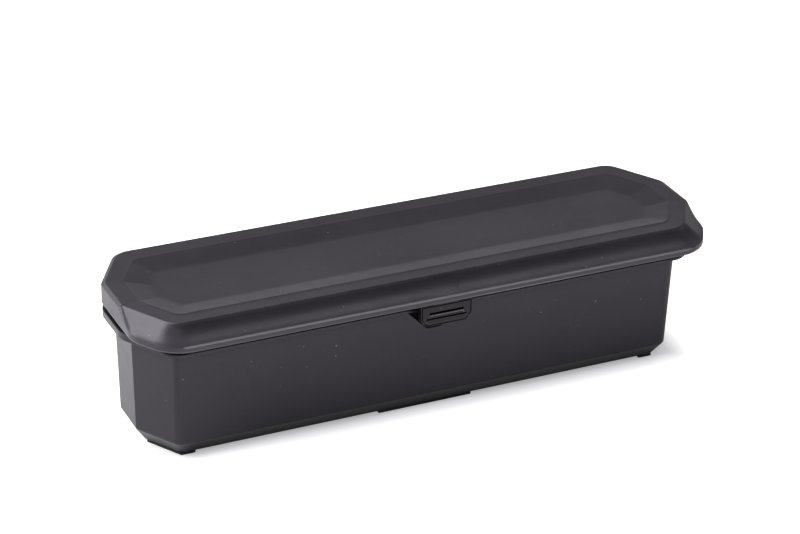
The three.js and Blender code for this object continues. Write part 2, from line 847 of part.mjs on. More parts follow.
// The spring's centre line: a leg down the tab's back, the coil, and a leg back under the lid.
function springLine() {
  const half = springWidth / 2;
  const points = [];
  const seat = latchBack + springWire / 2 + springSeat;
  points.push(new THREE.Vector3(-half, seat, pivot.z - springLegDown));
  const steps = springTurns * springSteps + springSteps / 4;
  for (let step = 0; step <= steps; step += 1) {
    const turn = (Math.PI * 2 * step) / springSteps;
    const x = -half + (springWidth * step) / steps;
    const y = pivot.y + springRadius * Math.cos(turn);
    points.push(new THREE.Vector3(x, y, pivot.z + springRadius * Math.sin(turn)));
  }
  points.push(new THREE.Vector3(half, pivot.y + springLegBack, pivot.z + springRadius));
  return points;
}

function springBody() {
  const section = new THREE.Shape();
  section.absarc(0, 0, springWire / 2, 0, Math.PI * 2, false);
  const path = new THREE.CatmullRomCurve3(springLine(), false, 'centripetal');
  const geometry = new THREE.ExtrudeGeometry(section, {
    steps: springTurns * springSteps + springSteps,
    extrudePath: path,
    curveSegments: springSides,
  });
  return solid(toIndexed(geometry));
}

function hingePin(station) {
  const reach = lidKnuckleLength / 2 + knuckleGap + tubKnuckleLength + hingePinOverhang;
  return pinX(hingePinRadius, reach * 2, { x: station, ...hingeAxis }, hingeFaces);
}

const box = new THREE.Group();
box.add(part('tub', tubBody(), tubPlastic));
box.add(part('lid', lidBody(), plastic));
box.add(part('latch', latchBody(), latchPlastic));
box.add(part('latch_pin', pinX(latchPinRadius, latchPinLength, { x: 0, ...pivot }, pinFaces), steel));
box.add(part('latch_spring', springBody(), steel));
const [leftStation, rightStation] = hingeStations();
box.add(part('hinge_pin_left', hingePin(leftStation), steel));
box.add(part('hinge_pin_right', hingePin(rightStation), steel));
box.add(part('foot_front', middlePad(-1), padRubber));
box.add(part('foot_rear', middlePad(1), padRubber));
for (const [endName, senseX] of [['left', -1], ['right', 1]]) {
  for (const [faceName, senseY] of [['front', -1], ['rear', 1]]) {
    box.add(part(`foot_${faceName}_${endName}`, cornerPad(senseX, senseY), padRubber));
  }
}

export default box;
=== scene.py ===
# Looks of a long hinged accessory box: moulded lid, tub and latch, rubber feet and steel pins.
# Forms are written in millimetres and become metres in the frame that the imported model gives.

import math

import bmesh
import bpy
import numpy as np
from mathutils import Matrix, Vector


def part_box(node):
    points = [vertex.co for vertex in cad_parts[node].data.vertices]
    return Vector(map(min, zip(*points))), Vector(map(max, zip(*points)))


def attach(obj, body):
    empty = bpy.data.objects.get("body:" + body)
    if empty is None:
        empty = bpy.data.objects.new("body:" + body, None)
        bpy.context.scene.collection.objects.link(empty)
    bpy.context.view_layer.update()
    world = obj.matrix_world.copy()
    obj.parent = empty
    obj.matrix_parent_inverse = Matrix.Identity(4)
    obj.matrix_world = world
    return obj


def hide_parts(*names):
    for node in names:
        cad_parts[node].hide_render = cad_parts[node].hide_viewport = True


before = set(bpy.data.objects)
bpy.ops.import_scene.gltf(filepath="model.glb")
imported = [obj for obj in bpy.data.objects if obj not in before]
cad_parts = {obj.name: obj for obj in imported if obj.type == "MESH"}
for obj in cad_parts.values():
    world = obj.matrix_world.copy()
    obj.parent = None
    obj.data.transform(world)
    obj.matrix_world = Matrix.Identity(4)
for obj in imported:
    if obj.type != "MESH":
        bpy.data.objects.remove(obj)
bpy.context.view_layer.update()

MM = 0.001
UP = Vector((0, 0, 1))

lid_low, lid_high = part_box("lid")

# Lid: skin, crease, tray, front flare and skirt.
LID_WALL = 2.2
CREASE_RADIUS = 0.9
END_CREASE_RADIUS = 2.4
RIM_BAND = 9.5
RIM_BAND_DROP = 0.4
TRAY_SLOPE = 15.3
TRAY_DEPTH = 3.5
FRONT_FLARE = 11.9
CUT_FLARE = 11.4
PLAIN_WALL_OUT = 1.6
FLARE_DROP = 8.9
END_LEDGE_DROP = 1.35
LEDGE_RISE_START = 13.5
LEDGE_RISE_RUN = 19.5
LEDGE_RISE_POWER = 0.68
END_HOLLOW_POWER = 2
FRONT_HOLLOW = (0.07, 0.45, 0.56, 0.9)
CUT_HOLLOW = (0.37, 0.43, 0.71, 0.9)
END_HOLLOW = (0.33, 0.33, 0.67, 0.67)
SKIRT_DEPTH = 12.8
SKIRT_WALL = 2.0
LEDGE_SOFT = 0.75
SKIRT_SOFT = 0.55
BEAD_WIDTH = 0.9
BEAD_RISE = 0.4
BEAD_FADE = 14.0
TRAY_SOFT = 2.4

# The rim crease, which every outline follows.
HALF_LENGTH = lid_high.x / MM - PLAIN_WALL_OUT
HALF_WIDTH = -lid_low.y / MM - FRONT_FLARE
RIM_HEIGHT = lid_high.z / MM
CORNER_CUT_ALONG = 19.0
CORNER_CUT_ACROSS = 32.3

# Rounding of the lid's outline at the corners, at the rim and at the skirt.
RIM_FRONT_ROUND = 12.0
RIM_END_ROUND = 2.5
SKIRT_FRONT_ROUND = 25.0
SKIRT_END_ROUND = 22.0
SKIRT_REAR_END_ROUND = 8.0
FRONT_TURN_RUN = 12.4
TRAY_ROUND = 7.0
TRAY_FLOOR_ROUND = 2.5
TRAY_END_ROUND = 1.0

# Locating ribs under the lid.
RIB_THICKNESS = 1.6
RIB_DEPTH = 4.0
RIB_CLEARANCE = 0.5
RIB_CORNER_GAP = 3.0
RIB_SOFT = RIB_THICKNESS / 5

# Tub: skin, wall draft, foot bevel, rim flange and upstand.
TUB_WALL = 2.2
FLOOR_THICKNESS = 2.2
FOOT_HEIGHT = 1.8
MOUTH_INSET = 5.4
WALL_DRAFT = 2.0
BEVEL_IN = 6.6
BEVEL_UP = 9.5
LID_SEAT_GAP = 0.3
FLANGE_TOP_DROP = 16.4
FLANGE_DEPTH = 4.5
FLANGE_PLATE = 2.0
FLANGE_LIP = 1.8
TUB_FRONT_ROUND = 6.0
TUB_END_ROUND = 1.2
TUB_INNER_ROUND = 3.0
TUB_INNER_END_ROUND = 0.8
FLANGE_FRONT_ROUND = 14.0
FLANGE_END_ROUND = 16.0
FLANGE_SOFT = 0.6
LIP_CHAMFER_IN = 2.8
LIP_CHAMFER_DOWN = 3.0
BEVEL_SOFT = 0.8
TUB_EDGE_SOFT = 0.5

# Finger scoop in the front wall behind the latch.
SCOOP_TOP_GAP = 0.6
SCOOP_HEIGHT = 19.4
SCOOP_TOP_WIDTH = 47.0
SCOOP_BOTTOM_WIDTH = 9.4
SCOOP_DEPTH = 7.0
SCOOP_BACK_HEIGHT = 13.0
SCOOP_BACK_TOP_WIDTH = 32.0
SCOOP_BACK_BOTTOM_WIDTH = 6.0
SCOOP_SOFT = 0.7

# Rear hinges.
HINGE_SPACING = 220.0
HINGE_RADIUS = 3.5
HINGE_PIN_RADIUS = 1.5
HINGE_PIN_CLEARANCE = 0.25
HINGE_AXIS_DROP = 12.7
LID_KNUCKLE_LENGTH = 14.0
TUB_KNUCKLE_LENGTH = 7.0
KNUCKLE_GAP = 0.4
LID_ARM_HEIGHT = 5.6
KNUCKLE_SOFT = 0.35

# Latch: a ribbed tab on a pin in the lid, with a hook under the tub's keeper.
LATCH_WIDTH = 32.6
LATCH_THICKNESS = 2.7
LATCH_SET_BACK = 2.3
LATCH_TOP_GAP = 1.4
LATCH_LENGTH = 13.5
LATCH_CORNER_IN = 3.9
LATCH_CORNER_UP = 4.2
LATCH_SOFT = 0.35
GRIP_WIDTH = 21.6
GRIP_DROP = 5.7
GRIP_GROOVE = 1.1
GRIP_GROOVE_DEPTH = 0.9
GRIP_RIB_RADIUS = 0.6
BORDER_INSET = 0.6
BORDER_GROOVE = 0.6
BORDER_DEPTH = 0.8
LIP_WIDTH = 25.6
LIP_GROOVE_DROP = 9.3
LIP_RADIUS = 1.2
LIP_DROP = 11.4
EYE_RADIUS = 2.1
EYE_CLEARANCE = 0.4
EYE_SPAN = 16.0
LATCH_PIN_RADIUS = 1.0
LATCH_PIN_CLEARANCE = 0.25
LATCH_PIN_LENGTH = 22.0
LATCH_BORE_END_GAP = 0.5
PIVOT_DROP = 11.2
PIVOT_SET_BACK = 4.2
THINNED_SKIRT = 1.1
THINNING_TOP_GAP = 0.4
LATCH_SIDE_CLEARANCE = 0.9
HOOK_WIDTH = 17.0
HOOK_BITE = 1.2
HOOK_GAP = 0.4
HOOK_DEPTH = 3.3
HOOK_TIP_HEIGHT = 0.9
SPRING_GAP = 7.8
SPRING_WINDOW = 0.6

# Keeper on the tub's flange.
KEEPER_WIDTH = 20.0
KEEPER_REACH = 4.4
KEEPER_TIP_HEIGHT = 1.1
KEEPER_TOP_IN = 2.0

# Raised pad over the pivot, in the lid's flare.
PIVOT_PAD_WIDTH = 26.0
PIVOT_PAD_FILL_SHARE = 0.35
PIVOT_PAD_MARGIN = 0.5
PIVOT_PAD_FADE = 8.0
PIVOT_PAD_SINK = 0.03
PIVOT_POCKET_REAR = 3.0
PIVOT_POCKET_TOP = 2.3
LUG_TOP = 2.4

# Cutters run this far past what they cut, and joined forms sink this far into each other.
OVERRUN = 3.0
JOIN_DEPTH = 0.6

# Points nearer than the merge reach become one, and edges shorter than the sliver reach go.
MERGE_REACH = 0.002
SLIVER_REACH = 0.001

# A rounding takes at most this share of a side.
ROUND_LIMIT_SHARE = 0.45

# Face counts.
FRONT_CORNER_STEPS = 20
END_CORNER_STEPS = 24
LEAD_STEPS = 12
FLARE_STEPS = 26
CREASE_STEPS = 7
SOFT_STEPS = 5
ROUND_FACES = 48
PAD_STEPS = 24

# Places worked out from the sizes above.
CUT_LENGTH = math.hypot(CORNER_CUT_ALONG, CORNER_CUT_ACROSS)
CUT_ANGLE = math.atan2(CORNER_CUT_ALONG, CORNER_CUT_ACROSS)
CUT_REACH = HALF_LENGTH * CORNER_CUT_ACROSS + (HALF_WIDTH - CORNER_CUT_ACROSS) * CORNER_CUT_ALONG
CUT_OFFSET = CUT_REACH / CUT_LENGTH
END_CREASE_REACH = CORNER_CUT_ALONG * 1.3
SKIRT_BOTTOM = RIM_HEIGHT - SKIRT_DEPTH
FRONT_FACE = HALF_WIDTH + FRONT_FLARE
REAR_FACE = HALF_WIDTH + PLAIN_WALL_OUT
FLANGE_TOP = RIM_HEIGHT - FLANGE_TOP_DROP
FLANGE_BOTTOM = FLANGE_TOP - FLANGE_DEPTH
FLANGE_UNDER = FLANGE_TOP - FLANGE_PLATE
TUB_TOP = RIM_HEIGHT - RIM_BAND_DROP - LID_WALL - LID_SEAT_GAP
TUB_SLOPE = WALL_DRAFT / (FLANGE_TOP - FOOT_HEIGHT - BEVEL_UP)
HINGE_AXIS = (FRONT_FACE - HINGE_RADIUS, RIM_HEIGHT - HINGE_AXIS_DROP)
PIVOT = (PIVOT_SET_BACK - FRONT_FACE, RIM_HEIGHT - PIVOT_DROP)
LATCH_FRONT = LATCH_SET_BACK - FRONT_FACE
LATCH_BACK = LATCH_FRONT + LATCH_THICKNESS
LATCH_TOP = SKIRT_BOTTOM - LATCH_TOP_GAP
LATCH_BOTTOM = LATCH_TOP - LATCH_LENGTH
KEEPER_FRONT = -(HALF_WIDTH + PLAIN_WALL_OUT + KEEPER_REACH)
HINGE_STATIONS = (-HINGE_SPACING / 2, HINGE_SPACING / 2)


# Outlines and lofts

def between(start, end, share):
    return start + (end - start) * share


def side(angle, offset):
    return angle, offset, math.cos(angle), math.sin(angle)


def meet(first, second, inset):
    """The point where two outline sides meet, both moved inward by an inset."""
    _, a, ax, ay = first
    _, b, bx, by = second
    turn = ax * by - ay * bx
    a -= inset
    b -= inset
    return np.array([(a * by - b * ay) / turn, (ax * b - bx * a) / turn])


def level(z, front, cut, end, rear, rear_cut, rounds):
    """One level of a skin: its height, its reach from the rim crease on each side, and its corner rounds."""
    return np.array([z, front, cut, end, rear, rear_cut, *rounds], float)


def even_level(inset, z, front_round, end_round):
    reach = [-inset] * 5
    return level(z, *reach, (front_round, end_round, end_round, front_round))


def sides_of(lvl):
    """The eight sides of a level, counter-clockwise from the front."""
    _, front, cut, end, rear, rear_cut = lvl[:6]
    quarter = math.pi / 2
    half = math.pi
    return [
        side(-quarter, HALF_WIDTH + front),
        side(-CUT_ANGLE, CUT_OFFSET + cut),
        side(0, HALF_LENGTH + end),
        side(CUT_ANGLE, CUT_OFFSET + rear_cut),
        side(quarter, HALF_WIDTH + rear),
        side(half - CUT_ANGLE, CUT_OFFSET + rear_cut),
        side(half, HALF_LENGTH + end),
        side(half + CUT_ANGLE, CUT_OFFSET + cut),
    ]


def outline(lvl, lead=False):
    """A level's outline as points, with every corner an arc.

    A lead runs the two front end corners on along the end walls, to where the ledge has climbed.
    """
    sides = sides_of(lvl)
    front_round, end_round, rear_end_round, rear_round = lvl[6:]
    rounds = [front_round, end_round, rear_end_round, rear_round]
    rounds += rounds[::-1]
    points = []
    for index, current in enumerate(sides):
        following = sides[(index + 1) % len(sides)]
        sweep = (following[0] - current[0]) % (2 * math.pi)
        steps = FRONT_CORNER_STEPS if sweep > CUT_ANGLE * 1.5 else END_CORNER_STEPS
        straight = LEAD_STEPS if lead and index in (1, 6) else 0
        radius = rounds[index]
        centre = meet(current, following, radius)
        corner = []
        for step in range(steps - straight + 1):
            angle = current[0] + sweep * step / (steps - straight)
            x = centre[0] + radius * math.cos(angle)
            y = centre[1] + radius * math.sin(angle)
            corner.append((x, y, lvl[0]))
        if straight and index == 1:
            corner += lead_points(corner[-1], [step / straight for step in range(1, straight + 1)])
        if straight and index == 6:
            corner = lead_points(corner[0], [1 - step / straight for step in range(straight)]) + corner
        points += corner
    return points


def lead_points(place, shares):
    x, y, z = place
    return [(x, y + (-LEDGE_RISE_START - y) * share, z) for share in shares]


def soften(levels, reaches):
    """Turns the corners of a section into small rounds. A reach of zero leaves a corner as it is."""
    made = [levels[0]]
    for index in range(1, len(levels) - 1):
        corner = levels[index]
        reach = reaches.get(index, 0)
        if reach == 0:
            made.append(corner)
            continue
        ends = []
        for other in (levels[index - 1], levels[index + 1]):
            step = other - corner
            length = max(math.hypot(step[0], step[place]) for place in range(1, 6))
            ends.append(corner + step * min(ROUND_LIMIT_SHARE, reach / length))
        made += round_rings(ends[0], corner, ends[1])
    made.append(levels[-1])
    return made


def loft(name, rings):
    """A closed skin through a series of outlines, capped at the first and the last."""
    count = len(rings[0])
    points = [point for ring in rings for point in ring]
    faces = [tuple(range(count))]
    last = (len(rings) - 1) * count
    faces.append(tuple(last + step for step in reversed(range(count))))
    for row in range(len(rings) - 1):
        for step in range(count):
            here = row * count + step
            following = row * count + (step + 1) % count
            faces.append((here, here + count, following + count, following))
    return new_object(name, points, faces)


def new_object(name, points, faces):
    mesh = bpy.data.meshes.new(name)
    mesh.from_pydata([(x * MM, y * MM, z * MM) for x, y, z in points], [], faces)
    mesh.validate()
    made = bpy.data.objects.new(name, mesh)
    bpy.context.scene.collection.objects.link(made)
    return made


def prism(name, section, from_x, to_x, soft=0.0):
    """A section in Y and Z, run along X, with its edges rounded by a soft radius."""
    count = len(section)
    points = [(x, y, z) for x in (from_x, to_x) for y, z in section]
    faces = [tuple(reversed(range(count))), tuple(range(count, 2 * count))]
    for step in range(count):
        following = (step + 1) % count
        faces.append((step, following, following + count, step + count))
    made = new_object(name, points, faces)
    face_out(made)
    if soft:
        round_edges(made, soft)
    return made


def face_out(target):
    form = bmesh.new()
    form.from_mesh(target.data)
    bmesh.ops.recalc_face_normals(form, faces=form.faces)
    form.to_mesh(target.data)
    form.free()


def round_edges(target, reach, least_angle=math.radians(25), segments=3):
    form = bmesh.new()
    form.from_mesh(target.data)
    joins = [edge for edge in form.edges if len(edge.link_faces) == 2]
    edges = [edge for edge in joins if edge.calc_face_angle() > least_angle]
    bmesh.ops.bevel(form, geom=edges, offset=reach * MM, segments=segments, profile=0.5, affect="EDGES")
    form.to_mesh(target.data)
    form.free()


def block(name, x, y, z, soft=0.0):
    section = [(y[0], z[0]), (y[1], z[0]), (y[1], z[1]), (y[0], z[1])]
    return prism(name, section, x[0], x[1], soft)


def circle(centre, radius, start=0.0, end=2 * math.pi):
    closed = end - start > 2 * math.pi - 1e-6
    steps = max(2, math.ceil(ROUND_FACES * (end - start) / (2 * math.pi)))
    angles = [start + (end - start) * step / steps for step in range(steps if closed else steps + 1)]
    return [(centre[0] + radius * math.cos(a), centre[1] + radius * math.sin(a)) for a in angles]


def bar(name, radius, from_x, to_x, centre, soft=0.0):
    return prism(name, circle(centre, radius), from_x, to_x, soft)


def combine(target, tools, operation):
    """Joins tools to a target, or cuts them from it, and removes the tools."""
    for tool in tools:
        step = target.modifiers.new(operation.title(), "BOOLEAN")
        step.operation = operation
        step.solver = "EXACT"
        step.object = tool
        bpy.context.view_layer.objects.active = target
        with bpy.context.temp_override(object=target, active_object=target):
            bpy.ops.object.modifier_apply(modifier=step.name)
        bpy.data.objects.remove(tool)
    return target


def finish_surface(target, sharp_angle=math.radians(38)):
    """Smooth shading that keeps the corners crisp and the large faces flat."""
    form = bmesh.new()
    form.from_mesh(target.data)
    bmesh.ops.remove_doubles(form, verts=form.verts, dist=MERGE_REACH * MM)
    bmesh.ops.dissolve_degenerate(form, edges=form.edges, dist=SLIVER_REACH * MM)
    for face in form.faces:
        face.smooth = True
    for edge in form.edges:
        edge.smooth = len(edge.link_faces) != 2 or edge.calc_face_angle(math.pi) < sharp_angle
    form.to_mesh(target.data)
    form.free()
    weighted = target.modifiers.new("Weighted normals", "WEIGHTED_NORMAL")
    weighted.keep_sharp = True
    weighted.weight = 50


# Lid

def ease(share):
    share = min(1.0, max(0.0, share))
    return share * share * (3 - 2 * share)


def ledge_drop(y):
    """The ledge is level along the front, and climbs the end wall in an S to the rim chamfer's foot."""
    share = ease(max(0.0, (-LEDGE_RISE_START - y) / LEDGE_RISE_RUN) ** LEDGE_RISE_POWER)
    return between(END_LEDGE_DROP, FLARE_DROP, share)


def hollow(y):
    """The flare's section at a place: the two handles of its curve, as shares of its reach and fall."""
    end_share = 1 - ease((-LEDGE_RISE_START - y) / LEDGE_RISE_RUN) ** END_HOLLOW_POWER
    front_share = ease((y + FRONT_FACE - FRONT_TURN_RUN) / -FRONT_TURN_RUN)
    cut_share = 1 - end_share - front_share
    shares = zip((front_share, cut_share, end_share), (FRONT_HOLLOW, CUT_HOLLOW, END_HOLLOW))
    return sum(share * np.array(handles) for share, handles in shares)


def crease_radius(x):
    """The rim's crease is softer at the two ends."""
    turn = ease((abs(x) - HALF_LENGTH + END_CREASE_REACH) / CORNER_CUT_ALONG)
    return between(CREASE_RADIUS, END_CREASE_RADIUS, turn)


def wall_level(z, inset=0.0, round_loss=0.0):
    rounds = (SKIRT_FRONT_ROUND, SKIRT_END_ROUND, SKIRT_REAR_END_ROUND, RIM_FRONT_ROUND)
    reach = (FRONT_FLARE, CUT_FLARE, PLAIN_WALL_OUT, PLAIN_WALL_OUT, PLAIN_WALL_OUT)
    return level(z, *[value - inset for value in reach], [value - round_loss for value in rounds])


def outwards(ring, inside):
    """The outward directions of an outline's points, from the same outline drawn inside it."""
    step = np.array(ring)[:, :2] - np.array(inside)[:, :2]
    return step / np.linalg.norm(step, axis=1)[:, None]


class Flare:
    """What shapes the flare at each station round the lid, between its crease and wall points."""

    def __init__(self):
        crease = outline(even_level(0, 0, RIM_FRONT_ROUND, RIM_END_ROUND))
        rounds = (RIM_FRONT_ROUND - CREASE_RADIUS, RIM_END_ROUND - CREASE_RADIUS)
        wall = outline(wall_level(0), lead=True)
        self.crease_out = outwards(crease, outline(even_level(CREASE_RADIUS, 0, *rounds)))
        self.wall_out = outwards(wall, outline(wall_level(0, SKIRT_WALL, SKIRT_WALL), lead=True))
        self.crease = np.array(crease)[:, :2]
        self.wall = np.array(wall)[:, :2]
        self.reach = np.linalg.norm(self.wall - self.crease, axis=1)
        handles = np.array([hollow(y) for y in self.wall[:, 1]])
        self.radius = np.array([crease_radius(x) for x in self.wall[:, 0]])
        self.across = handles[:, 0::2]
        self.down = handles[:, 1::2]
        drop = np.array([ledge_drop(y) for y in self.wall[:, 1]])
        slope = self.reach * self.across[:, 0] / (drop * self.down[:, 0])
        self.turn_end = math.pi / 2 - np.arctan(slope)
        self.start = self.radius * (1 - np.cos(self.turn_end))
        self.fall = drop - self.start
        self.ledge_z = RIM_HEIGHT - drop

    def crease_ring(self, share):
        turn = self.turn_end * share
        out = self.radius * (np.sin(turn) - np.sin(self.turn_end))
        places = self.crease + self.crease_out * out[:, None]
        return np.column_stack([places, RIM_HEIGHT - self.radius * (1 - np.cos(turn))])

    @staticmethod
    def curve(handles, t):
        return 3 * t * (1 - t) ** 2 * handles[:, 0] + 3 * t * t * (1 - t) * handles[:, 1] + t ** 3

    @staticmethod
    def curve_pace(handles, t):
        first, second = handles[:, 0], handles[:, 1]
        return 3 * (1 - t) ** 2 * first + 6 * t * (1 - t) * (second - first) + 3 * t * t * (1 - second)

    def ring(self, share):
        places = between(self.crease, self.wall, self.curve(self.across, share)[:, None])
        return np.column_stack([places, RIM_HEIGHT - self.start - self.fall * self.curve(self.down, share)])

    def inner_ring(self, share):
        """The inner skin lies a wall's thickness square to the outer one, and clear of the skirt."""
        along = self.reach * self.curve_pace(self.across, share)
        sink = self.fall * self.curve_pace(self.down, share)
        steep = np.hypot(along, sink)
        outer = self.ring(share)
        from_wall = np.sum((self.wall - outer[:, :2]) * self.wall_out, axis=1)
        inset = np.maximum(LID_WALL * sink / steep, SKIRT_WALL - from_wall)
        out = self.crease_out * (1 - share) + self.wall_out * share
        out /= np.linalg.norm(out, axis=1)[:, None]
        z = np.minimum(outer[:, 2] - LID_WALL * along / steep, RIM_HEIGHT - RIM_BAND_DROP - LID_WALL)
        return np.column_stack([outer[:, :2] - out * inset[:, None], z])

    def below_ledge(self, depth):
        return np.column_stack([self.wall, self.ledge_z - depth])


def wall_ring(drop, inset=0.0):
    return outline(wall_level(RIM_HEIGHT - drop, inset, inset), lead=True)


def round_rings(first, corner, last):
    """Levels or rings that round a corner of the section, between one before it and one after it."""
    first, corner, last = np.array(first), np.array(corner), np.array(last)
    shares = [step / SOFT_STEPS for step in range(SOFT_STEPS + 1)]
    return [first * (1 - t) ** 2 + corner * 2 * t * (1 - t) + last * t * t for t in shares]


def part_way(start, end, reach):
    """The points of a ring moved towards another ring's by a reach, at most to their middle."""
    start, end = np.array(start), np.array(end)
    length = np.linalg.norm(end - start, axis=1)[:, None]
    return between(start, end, np.minimum(0.5, reach / np.maximum(length, 1e-9)))


def front_bead(ring, band_z):
    """Keeps what rises over the rim band only along the front, and fades it out at the corners."""
    edge = HALF_WIDTH - RIM_BAND
    made = []
    for x, y, z in ring:
        share = ease((-y - edge + BEAD_FADE) / BEAD_FADE)
        made.append((x, y, z - max(0.0, min(z - band_z, BEAD_RISE)) * (1 - share)))
    return made


def lid_shell():
    """The lid's skin, from the tray floor out over the rim, down the skirt and back up inside."""
    tray_edge = RIM_BAND + TRAY_SLOPE
    floor_z = RIM_HEIGHT - TRAY_DEPTH
    band_z = RIM_HEIGHT - RIM_BAND_DROP
    inner_floor = tray_edge + LID_WALL / 2
    floor_rounds = (TRAY_FLOOR_ROUND, TRAY_END_ROUND)
    band_rounds = (TRAY_ROUND, TRAY_END_ROUND)
    tray = [
        even_level(tray_edge + RIM_BAND, floor_z, *floor_rounds),
        even_level(tray_edge, floor_z, *floor_rounds),
        even_level(RIM_BAND + BEAD_WIDTH, band_z + BEAD_RISE, *band_rounds),
        even_level(RIM_BAND, band_z, *band_rounds),
        even_level(CREASE_RADIUS * 2, RIM_HEIGHT, RIM_FRONT_ROUND, RIM_END_ROUND),
    ]
    flare = Flare()
    rings = [front_bead(outline(lvl), band_z) for lvl in soften(tray, {1: TRAY_SOFT, 2: BEAD_WIDTH / 2})][:-1]
    rings += [flare.crease_ring(step / CREASE_STEPS) for step in range(CREASE_STEPS)]
    rings += [flare.ring(step / FLARE_STEPS) for step in range(FLARE_STEPS)]
    ledge = flare.ring(1)
    under_ledge = flare.below_ledge(LEDGE_SOFT)
    rings += round_rings(part_way(ledge, rings[-1], LEDGE_SOFT), ledge, under_ledge)
    foot = wall_ring(SKIRT_DEPTH)
    inner_foot = wall_ring(SKIRT_DEPTH, SKIRT_WALL)
    above = flare.inner_ring(1)
    for before, corner, after in ((under_ledge, foot, inner_foot), (foot, inner_foot, above)):
        start = part_way(corner, before, SKIRT_SOFT)
        rings += round_rings(start, corner, part_way(corner, after, SKIRT_SOFT))
    rings += [flare.inner_ring(step / FLARE_STEPS) for step in range(FLARE_STEPS, -1, -1)]
    inner_z = band_z - LID_WALL
    rings.append(outline(even_level(RIM_BAND + LID_WALL, inner_z, *band_rounds)))
    rings.append(outline(even_level(inner_floor, floor_z - LID_WALL, *floor_rounds)))
    return loft("lid_shell", rings)


def lid_ribs():
    inset = MOUTH_INSET + TUB_WALL + RIB_CLEARANCE
    front_y = inset - HALF_WIDTH
    end_x = HALF_LENGTH - inset
    z = (TUB_TOP - RIB_DEPTH, RIM_HEIGHT - RIM_BAND_DROP - LID_WALL + JOIN_DEPTH)
    long_side, cut_side, end_side = sides_of(even_level(inset, 0, 0, 0))[:3]
    half_rib = meet(long_side, cut_side, 0)[0] - RIB_CORNER_GAP
    half_end = -meet(cut_side, end_side, 0)[1] - RIB_CORNER_GAP
    return [
        block("rib", (-half_rib, half_rib), (front_y, front_y + RIB_THICKNESS), z, RIB_SOFT),
        block("rib", (end_x - RIB_THICKNESS, end_x), (-half_end, half_end), z, RIB_SOFT),
        block("rib", (-end_x, RIB_THICKNESS - end_x), (-half_end, half_end), z, RIB_SOFT),
    ]


def boss_web(centre, radius, lower, upper):
    """A round boss joined by straight tangents to a lower and an upper place in front of it."""
    def tangent(place, sense):
        away = math.hypot(place[0] - centre[0], place[1] - centre[1])
        toward = math.atan2(place[1] - centre[1], place[0] - centre[0])
        return toward + sense * math.acos(radius / away)

    start = tangent(lower, 1)
    end = tangent(upper, -1)
    while end < start:
        end += 2 * math.pi
    return [upper, lower, *circle(centre, radius, start, end)]


def lid_arm(station):
    wall = REAR_FACE - JOIN_DEPTH
    lower = (wall, SKIRT_BOTTOM + LID_SEAT_GAP)
    upper = (wall, SKIRT_BOTTOM + LID_ARM_HEIGHT)
    half = LID_KNUCKLE_LENGTH / 2
    section = boss_web(HINGE_AXIS, HINGE_RADIUS, lower, upper)
    return prism("arm", section, station - half, station + half, KNUCKLE_SOFT)


def hinge_bore(station):
    reach = LID_KNUCKLE_LENGTH / 2 + KNUCKLE_GAP + TUB_KNUCKLE_LENGTH + OVERRUN
    radius = HINGE_PIN_RADIUS + HINGE_PIN_CLEARANCE
    return bar("bore", radius, station - reach, station + reach, HINGE_AXIS)


def pivot_pad():
    """The pad fills part of the flare's hollow over the latch's pivot, and fades into it at both sides."""
    flare = FRONT_FLARE - PIVOT_PAD_MARGIN
    fall = FLARE_DROP - CREASE_RADIUS
    handles = np.array([FRONT_HOLLOW])
    shares = [step / FLARE_STEPS for step in range(FLARE_STEPS + 1)]
    curve = [(Flare.curve(handles[:, 0::2], t)[0], Flare.curve(handles[:, 1::2], t)[0], t) for t in shares]
    half = PIVOT_PAD_WIDTH / 2
    rings = []
    for step in range(PAD_STEPS + 1):
        x = half * (2 * step / PAD_STEPS - 1)
        fill = PIVOT_PAD_FILL_SHARE * ease((half - abs(x)) / PIVOT_PAD_FADE) - PIVOT_PAD_SINK
        upper = []
        for across, down, t in curve:
            out = flare * (across + (t - across) * fill)
            drop = fall * (down + (t - down) * fill)
            upper.append((x, -(HALF_WIDTH + out), RIM_HEIGHT - CREASE_RADIUS - drop))
        lower = [(x, y + JOIN_DEPTH, z - LID_WALL) for _, y, z in reversed(upper)]
        rings.append(upper + lower)
    pad = loft("pad", rings)
    face_out(pad)
    return pad


def lid_body():
    outer = PIVOT_PAD_WIDTH / 2
    body = lid_shell()
    lug_y = (PIVOT[0] - EYE_RADIUS, PIVOT[0] + EYE_RADIUS)
    lug = block("lug", (-outer, outer), lug_y, (PIVOT[1], PIVOT[1] + LUG_TOP))
    joined = [*lid_ribs(), pivot_pad(), lug, bar("lug", EYE_RADIUS, -outer, outer, PIVOT)]
    joined += [lid_arm(station) for station in HINGE_STATIONS]
    combine(body, joined, "UNION")

    half = EYE_SPAN / 2 + EYE_CLEARANCE
    inside = THINNED_SKIRT - FRONT_FACE
    rear = PIVOT[0] + PIVOT_POCKET_REAR
    half_tab = LATCH_WIDTH / 2 + LATCH_SIDE_CLEARANCE
    half_pin = LATCH_PIN_LENGTH / 2 + LATCH_BORE_END_GAP
    foot = SKIRT_BOTTOM - OVERRUN
    cuts = [
        bar("pocket", EYE_RADIUS + EYE_CLEARANCE, -half, half, PIVOT),
        block("pocket", (-half, half), (inside, rear), (foot, PIVOT[1])),
        block("pocket", (-half, half), (PIVOT[0], rear), (PIVOT[1], PIVOT[1] + PIVOT_POCKET_TOP)),
        block("thinning", (-half_tab, half_tab), (inside, SKIRT_WALL - FRONT_FACE + JOIN_DEPTH),
              (foot, PIVOT[1] - EYE_RADIUS + THINNING_TOP_GAP)),
        bar("bore", LATCH_PIN_RADIUS + LATCH_PIN_CLEARANCE, -half_pin, half_pin, PIVOT),
    ]
    cuts += [hinge_bore(station) for station in HINGE_STATIONS]
    combine(body, cuts, "DIFFERENCE")
    finish_surface(body)
    return body


# Tub

